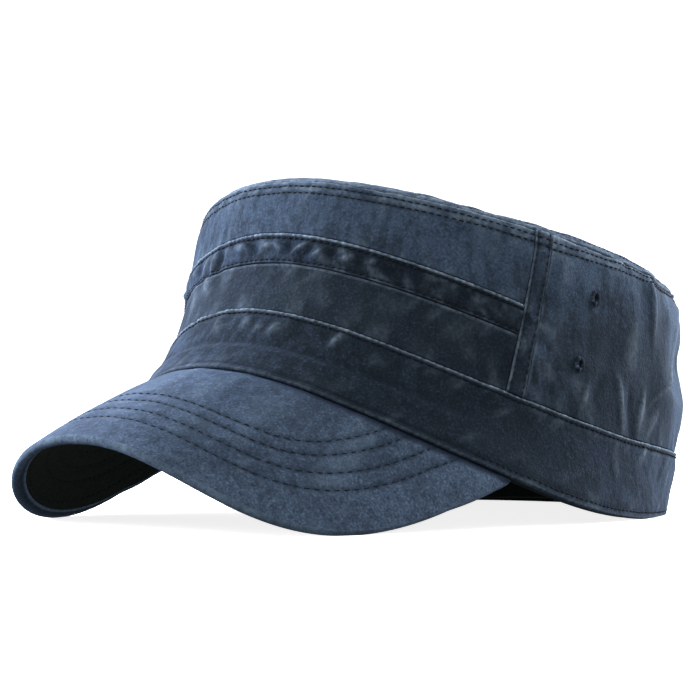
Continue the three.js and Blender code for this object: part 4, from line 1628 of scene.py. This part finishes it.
@dataclass
class Brim:
    """The stitched brim: a curved board between an upper and an under cloth."""

    wardrobe: Wardrobe
    half_width: float = 72.8
    rear_reach: float = 36.8  # how far forward its widest line lies
    front_reach: float = 142.0  # how far forward its front edge lies
    roundness: float = 2.81  # of the outer edge; 2 is an ellipse
    front_height: float = 28.3  # of the front edge
    droop: float = 52.8  # at 80 mm from the middle
    droop_power: float = 2.25
    bulge: float = 1.8  # how far it arches up between the band and its edge
    corner_angle: float = 69.2  # where its corners meet the band
    corner_pull: float = 6.0  # how late the edge turns in to the corners
    thickness: float = 3.2
    under_thickness: float = 1.0
    hem: float = 3.0  # width of the cloth turned in under the edge
    seam_gap: float = 0.6  # how far below the wall's rim its seam lies
    steady_swing: float = 83.0  # the rulings beyond it all point the same way
    tip_share: float = 0.5  # share of the thickness that is left at the corners
    tip_length: float = 14.0  # rulings shorter than this are thinner
    piece_gap: float = 0.16  # room between the two cloths
    rulings: int = 241  # straight lines from the band to the edge
    rows_in: tuple[float, ...] = (14.3, 20.3, 26.8, 32.0)  # stitch rows, from the edge
    turn_up: float = 3.0  # height of the seam allowance behind the band
    row_depth: float = 0.32  # how deep the rows pull the upper cloth in
    seam_dip: float = 0.8  # how deep the band's seam does
    quilt: float = 0.16  # height of the puckers between the rows
    quilt_cell: float = 6.5  # and their length
    row: StitchRow = StitchRow(pitch=3.3, share=0.66, radius=0.19, lift=0.0)

    def edge(self, swing: Array) -> Array:
        """The outer edge; swing runs from -90 at the right corner to 90 at the left.

        Args:
            swing: Places along the edge.

        Returns:
            The points.
        """
        side, turn = np.sign(swing), np.radians(np.abs(swing))
        corner = FORM.cloth(at(self.corner_angle), at(0.0), at(0.0))
        corner_x, corner_y, corner_z = corner[0], corner[1] - FORM.offset, corner[2]
        pull = (np.abs(swing) / 90) ** self.corner_pull
        sine = clamp(np.sin(turn)) ** (2 / self.roundness)
        cosine = clamp(np.cos(turn)) ** (2 / self.roundness)
        x = self.half_width * sine + pull * (corner_x - self.half_width)
        forward = self.rear_reach + (self.front_reach - self.rear_reach) * cosine
        forward = forward + pull * (-corner_y - self.rear_reach)
        rearward = clamp((self.front_reach - forward) / (self.front_reach - self.rear_reach))
        sag = self.droop * (x / 80) ** self.droop_power
        lift = corner_z - self.front_height + self.droop * (corner_x / 80) ** self.droop_power
        z = self.front_height - sag + lift * rearward ** 2
        return np.stack([side * x, FORM.offset - forward, z], axis=-1)

    def seam(self, swing: Array) -> Array:
        """Where the brim's middle surface meets the band.

        Args:
            swing: Places along the edge.

        Returns:
            The points.
        """
        angle, level = self.corner_angle * swing / 90, np.zeros_like(swing)
        upward = unit(FORM.steps(angle, level)[1])
        proud = np.full_like(swing, -self.thickness / 2)
        return FORM.cloth(angle, level, proud) - upward * self.seam_gap

    def __post_init__(self) -> None:
        """Works out the rulings that the brim is swept through."""
        swing = 90 * np.sin(np.radians(90 * np.linspace(-1, 1, self.rulings)))
        self.swing = swing
        steady = np.clip(swing, -self.steady_swing, self.steady_swing)
        self.along = unit(self.edge(steady) - self.seam(steady))
        self.normal = unit(np.cross(self.along, self.middle(steady + 1) - self.middle(steady - 1)))
        self.begin = self.seam(swing)
        self.length = np.linalg.norm(self.edge(swing) - self.begin, axis=-1)
        share = np.clip(self.length / (self.thickness / 2 + self.hem + 2), 0.2, 1)
        self.roll = self.thickness / 2 * share
        self.hem_start = self.length - self.roll - self.hem * share

    def middle(self, swing: Array) -> Array:
        """Half way out along each ruling."""
        return (self.seam(swing) + self.edge(swing)) / 2

    def place(self, distance: Array, above: Array) -> Array:
        """Points of the brim.

        Args:
            distance: Distances out along the rulings, with the rulings last.
            above: Heights over the middle surface, of the same shape.

        Returns:
            The points, with their three coordinates last.
        """
        share = clamp(distance / self.length)
        arch = self.bulge * 4 * share * (1 - share) * (1 - (self.swing / 90) ** 2)
        thin = clamp(self.tip_share + (1 - self.tip_share) * self.length / self.tip_length)
        point = self.begin + self.along * distance[..., None]
        point[..., 2] += arch
        return point + self.normal * (above * thin)[..., None]

    def from_edge(self, points: Array) -> Array:
        """Distance of each point from the outer edge.

        Args:
            points: Points of the brim, in rows of rulings.

        Returns:
            The distances.
        """
        rim = self.place(self.length[None], np.zeros((1, self.rulings)))[0]
        rim = np.stack([np.interp(np.linspace(0, self.rulings - 1, 4 * self.rulings),
                                  np.arange(self.rulings), rim[:, k]) for k in range(3)], axis=-1)
        away = [np.linalg.norm(row[:, None] - rim[None], axis=-1).min(axis=1) for row in points]
        return np.stack(away)

    def upper(self) -> bpy.types.Object:
        """The upper cloth with its rows of stitching and its rolled edge.

        Returns:
            The piece's object.
        """
        stretches = (self.face(), self.rolled_edge(), self.turned_hem(), self.hidden_back())
        distance, above, wear, crease = (np.concatenate(rows) for rows in zip(*stretches))
        points = np.concatenate([self.place(distance, above), self.allowance()])
        none = np.zeros((len(points) - len(distance), self.rulings))
        # the turned-up seam allowance is painted fully in shade
        return self.sweep("brim_upper", Finish.BRIM, "brim_twill", points, 0,
                          np.concatenate([wear, none]), np.concatenate([crease, none + 1]))

    def face(self) -> Stretch:
        """The upper face: stitched in rows, quilted between them, drawn in at the band, with
        painted shade along the rows and in the seam at the band.

        Returns:
            Its rows.
        """
        half = self.thickness / 2
        shares = np.concatenate([[0, 0.008, 0.02], np.linspace(0.045, 1, 46)])[:, None]
        top = shares * (self.length - self.roll)
        flat = self.place(top, np.full_like(top, half))
        away = self.from_edge(flat)
        soft = 0.6 * lattice_noise(flat, 16.0, 31) + 0.3 * lattice_noise(flat, 6.0, 32)
        lift, crease = 0.22 * soft, np.zeros_like(top)
        wear = 0.3 * clamp(soft) ** 2
        for row in self.rows_in:
            lift = lift - self.row_depth * bell(away - row, 1.0)
            # painted shade along each stitch row
            crease = crease + 0.75 * bell(away - row, 0.75)
        run = cumulative(self.edge(self.swing), 0)
        flat_run = np.stack([away / 2.2, run + 0 * away, 0 * away], -1)
        quilt = lattice_noise(flat_run, self.quilt_cell, 33)
        stitched = smooth_step(away, 11, 15)
        lift = lift + self.quilt * quilt * stitched
        wear = wear + 0.35 * clamp(quilt - 0.1) * stitched
        lift = lift - self.seam_dip * bell(top, 1.5)
        # painted shadow in the gap where the band meets the brim
        crease = crease + 1.3 * (1 - smooth_step(top, 1.2, 3.2))
        self.upper_grid = (away, self.place(top, half + lift), self.normal)
        above = half + lift * smooth_step(self.length, 6, 18)
        return top, above, clamp(wear), clamp(crease)

    def rolled_edge(self) -> Stretch:
        """The roll of cloth round the board's edge, rubbed pale in patches.

        Returns:
            Its rows.
        """
        turns = np.radians([75, 60, 45, 30, 15, 0, -15, -30, -50, -70, -90])[:, None]
        distance = self.length - self.roll + self.roll * np.cos(turns)
        above = self.thickness / 2 * np.sin(turns) * np.ones_like(distance)
        patchy = 0.6 + 0.4 * lattice_noise(self.place(distance, above), 7.0, 34)
        wear = (0.3 + 0.45 * np.sin(np.clip(turns + 0.9, 0, math.pi)) ** 2) * patchy
        crease = np.zeros_like(distance)
        # painted shade where the roll turns under
        crease[-2:] = np.array([0.2, 0.5])[:, None]
        return distance, above, wear, crease

    def turned_hem(self) -> Stretch:
        """The hem under the edge: a groove in painted shade, a pale ridge, and its step up to the
        under cloth.

        Returns:
            Its rows.
        """
        inward, above, wear, crease = np.array([
            [1.6, 0.12, 0.0, 0.85],
            [1.1, -0.02, 0.3, 0.3],
            [0.7, -0.1, 0.8, 0.0],
            [0.3, -0.12, 1.0, 0.0],
            [0.0, 0.0, 0.7, 0.0],
            [0.0, self.under_thickness + self.piece_gap, 0.3, 0.0],
        ]).T[..., None] * np.ones(self.rulings)
        return self.hem_start + inward, above - self.thickness / 2, wear, crease

    def hidden_back(self) -> Stretch:
        """The upper cloth's lower surface, against the under cloth.

        Returns:
            Its rows.
        """
        distance = np.linspace(0.96, 0, 12)[:, None] * self.hem_start
        none = np.zeros_like(distance)
        room = self.under_thickness + self.piece_gap - self.thickness / 2
        return distance, none + room, none, none

    def allowance(self) -> Array:
        """The seam allowance, turned up between the hat band and the sweatband.

        Returns:
            Its four rows of points.
        """
        angle = self.corner_angle * self.swing / 90
        _, upward = FORM.steps(angle, np.zeros_like(angle))
        top = self.turn_up / np.linalg.norm(upward, axis=-1)
        inner, outer = -2.1, -1.68  # how far each face stands off the level surface
        corners = ((inner, 0.0), (inner, 1.0), (outer, 1.0), (outer, 0.0))
        return np.stack([FORM.cloth(angle, top * share, proud) for proud, share in corners])

    def under(self) -> bpy.types.Object:
        """The under cloth, set inside the rolled edge, in the near-black lining that paints the
        shade under the brim.

        Returns:
            The piece's object.
        """
        half = self.thickness / 2
        shares = np.concatenate([np.linspace(0, 0.98, 34), [1.0]])[:, None]
        out = shares * (self.hem_start - self.piece_gap)
        flat = self.place(out, np.full_like(out, -half))
        soft = lattice_noise(flat, 9.0, 41)
        away = self.from_edge(flat)
        below = -half - 0.12 * soft
        for row in self.rows_in:
            below = below + 0.25 * bell(away - row, 1.0)
        distance = np.concatenate([out, out[::-1]])
        above = np.concatenate([np.full_like(out, -half + self.under_thickness), below[::-1]])
        self.under_grid = (away, self.place(out, below), -self.normal)
        none = np.zeros_like(distance)
        return self.sweep("brim_under", Finish.SHADED_LINING, "dark_lining", self.place(distance, above),
                          12, none, none)

    def sweep(self, name: str, finish: Finish, slot: str, corners: Array, omitted: int,
              wear: Array, crease: Array) -> bpy.types.Object:
        """Closes sections across the rulings into one solid and seats it.

        Args:
            name: The piece's name, the same as its CAD node's.
            finish: Its finish.
            slot: Handed to seat, which does not use it.
            corners: Points, one row of rulings for each corner of the section.
            omitted: Rulings left off at each end.
            wear: How rubbed each point is.
            crease: How much painted shade darkens each point.

        Returns:
            The piece's object.
        """
        keep = slice(omitted, self.rulings - omitted)
        points = corners[:, keep]
        count, width = points.shape[:2]
        ring = np.arange(count)
        after = (ring + 1) % count
        columns = np.arange(width - 1)
        here = ring[:, None] * width + columns
        there = after[:, None] * width + columns
        faces = np.stack([here, here + 1, there + 1, there], axis=-1).reshape(-1, 4)
        parts = MeshParts()
        # painted light at the left corner and painted shade at the right one
        dye = np.interp(self.swing[keep], (-90, -55, 0, 55, 90), (-0.25, 0.05, 0, 0, 0.45))
        parts.add(points, faces, wear=wear[:, keep], crease=crease[:, keep], dye=dye)
        size = count // 2
        near = np.arange(size - 1)
        cap = np.stack([near, near + 1, count - 2 - near, count - 1 - near], axis=-1) * width
        parts.faces.append(cap)
        parts.faces.append(cap[:, ::-1] + width - 1)
        piece = parts.build(f"{name}_cloth", self.wardrobe.get(finish))
        return seat(piece, slot, name)

    def rows_of(self, grid: tuple[Array, Array, Array], gaps: tuple[float, ...],
                parts: MeshParts) -> None:
        """Adds stitch rows at distances from the outer edge.

        Args:
            grid: Distances from the outer edge, points and each ruling's outward direction.
            gaps: The distances of the rows.
            parts: The mesh of thread.
        """
        away, points, normals = grid
        for gap in gaps:
            inward = away[::-1] - gap
            line, _ = crossing(inward, points[::-1])
            is_there = (inward[0] < 0) & (inward.max(axis=0) >= 0)
            self.row.add_to(parts, line[is_there], normals[is_there])

    def make(self) -> None:
        """Builds both cloths and the stitching."""
        self.upper()
        self.under()
        threads = MeshParts()
        self.rows_of(self.upper_grid, self.rows_in, threads)
        self.rows_of(self.under_grid, (*self.rows_in, self.hem + self.thickness / 2 + 2), threads)
        seat(threads.build("brim_topstitching", self.wardrobe.get(Finish.THREAD)), "thread")


# ------------------------------------------------------------------ studio


@dataclass(frozen=True)
class SoftLight:
    """A soft square light aimed at the cap."""

    name: str
    turn: float  # degrees round from the cap's front
    rise: float  # degrees above the floor
    strength: float  # radiance of a white surface that faces it at the cap
    tint: Colour = (1.0, 1.0, 1.0)
    away: float = 1.2  # metres from the cap
    size: float = 0.9  # length of its sides in metres
    aim: float = 0.05  # metres above the floor that it points at

    def make(self) -> None:
        """Adds the light."""
        data = bpy.data.lights.new(self.name, "AREA")
        data.shape = "SQUARE"
        data.size = self.size
        data.color = self.tint
        data.energy = self.strength * (math.pi * self.away) ** 2
        turn, rise = math.radians(self.turn), math.radians(self.rise)
        level = math.cos(rise)
        out = Vector((math.sin(turn) * level, -math.cos(turn) * level, math.sin(rise)))
        lamp = place_object(self.name, data)
        lamp.location = out * self.away + Vector((0, 0, self.aim))
        lamp.rotation_euler = (-out).to_track_quat("-Z", "Y").to_euler()


COOL = (0.965, 0.99, 1.08)
LIGHTS = (
    SoftLight("key_light", -70, 20, 3.3, COOL),
    SoftLight("back_light", 171, 22, 3.0),
    SoftLight("skim_light", -135, 35, 1.5, COOL, away=1.3, size=0.8),
    SoftLight("fill_light", 15, 40, 0.4, away=1.3, size=0.8),
)


@dataclass
class Studio:
    """A pale floor that sweeps up all round, soft lights and the camera."""

    floor_radius: float = 1.5  # metres, as the studio's other lengths are
    cove_radius: float = 0.9
    wall_height: float = 2.6
    corners: int = 96  # of each ring of the floor
    shade: Colour = (0.93, 0.93, 0.93)
    glow: float = 0.84  # lifts the floor to an even white
    sky: float = 0.62  # strength of the even light from above
    ground: float = 0.25  # and from below
    camera_place: tuple[float, float, float] = (0.5336, -0.5702, 0.0450)
    camera_tilt: float = 90.97
    camera_turn: float = 43.53
    lens: float = 113.84

    def make(self) -> None:
        """Builds the floor, the lights and the camera."""
        self.floor()
        for light in LIGHTS:
            light.make()
        self.world()
        self.camera()
        bpy.context.scene.view_settings.view_transform = "Standard"

    def floor(self) -> None:
        """Builds the floor and its sweep."""
        turn = np.radians(np.linspace(0, 90, 13))
        flat = np.array([0.02, 0.4, 0.8, 1.2])
        radius = np.concatenate([flat, self.floor_radius + self.cove_radius * np.sin(turn),
                                 [self.floor_radius + self.cove_radius]])
        height = np.concatenate([np.zeros(len(flat)), self.cove_radius * (1 - np.cos(turn)),
                                 [self.wall_height]])
        turns = np.radians(np.arange(self.corners) * 360 / self.corners)
        ring = np.stack([np.cos(turns), np.sin(turns), np.zeros_like(turns)], axis=-1)
        points = radius[:, None, None] * ring + height[:, None, None] * np.array([0, 0, 1])
        near = np.arange(self.corners // 2 - 1)
        last = self.corners - 1
        cap = np.stack([near, last - near, last - 1 - near, near + 1], axis=-1)[:, ::-1]
        faces = np.append(grid_faces(len(radius), self.corners, True, flip=True), cap, 0)
        parts = MeshParts()
        parts.add(points / MM, faces)
        sheet = Sheet("studio_floor")
        sheet.dress({"Base Color": (*self.shade, 1), "Roughness": 1.0, "Specular IOR Level": 0.0,
                     "Emission Color": (1, 1, 1, 1), "Emission Strength": self.glow})
        floor = parts.build("studio_floor", sheet.material)
        floor.visible_diffuse = False
        floor.visible_glossy = False

    def world(self) -> None:
        """Sets the even light all round, which is weaker from below."""
        world = bpy.data.worlds.new("studio_world")
        world.use_nodes = True
        tree = world.node_tree
        place = tree.nodes.new("ShaderNodeTexCoord")
        split = tree.nodes.new("ShaderNodeSeparateXYZ")
        ramp = tree.nodes.new("ShaderNodeMapRange")
        tree.links.new(place.outputs["Generated"], split.inputs["Vector"])
        tree.links.new(split.outputs["Z"], ramp.inputs["Value"])
        set_inputs(ramp, {"From Min": -0.2, "From Max": 0.1,
                          "To Min": self.ground, "To Max": self.sky})
        tree.links.new(ramp.outputs["Result"], tree.nodes["Background"].inputs["Strength"])
        tree.nodes["Background"].inputs["Color"].default_value = (1, 1, 1, 1)
        bpy.context.scene.world = world

    def camera(self) -> None:
        """Places the camera."""
        data = bpy.data.cameras.new("studio_camera")
        data.lens = self.lens
        data.sensor_width = 36
        data.clip_start = 0.02
        camera = place_object("studio_camera", data)
        camera.location = self.camera_place
        camera.rotation_euler = (math.radians(self.camera_tilt), 0, math.radians(self.camera_turn))
        bpy.context.scene.camera = camera


def main() -> None:
    """Builds the cap and the studio."""
    logging.basicConfig(level=logging.INFO, format="%(name)s %(message)s")
    wardrobe = Wardrobe()
    Studio().make()
    Brim(wardrobe).make()
    HatBand(wardrobe).make()
    Crown(wardrobe).make()


if __name__ == "__main__":
    main()
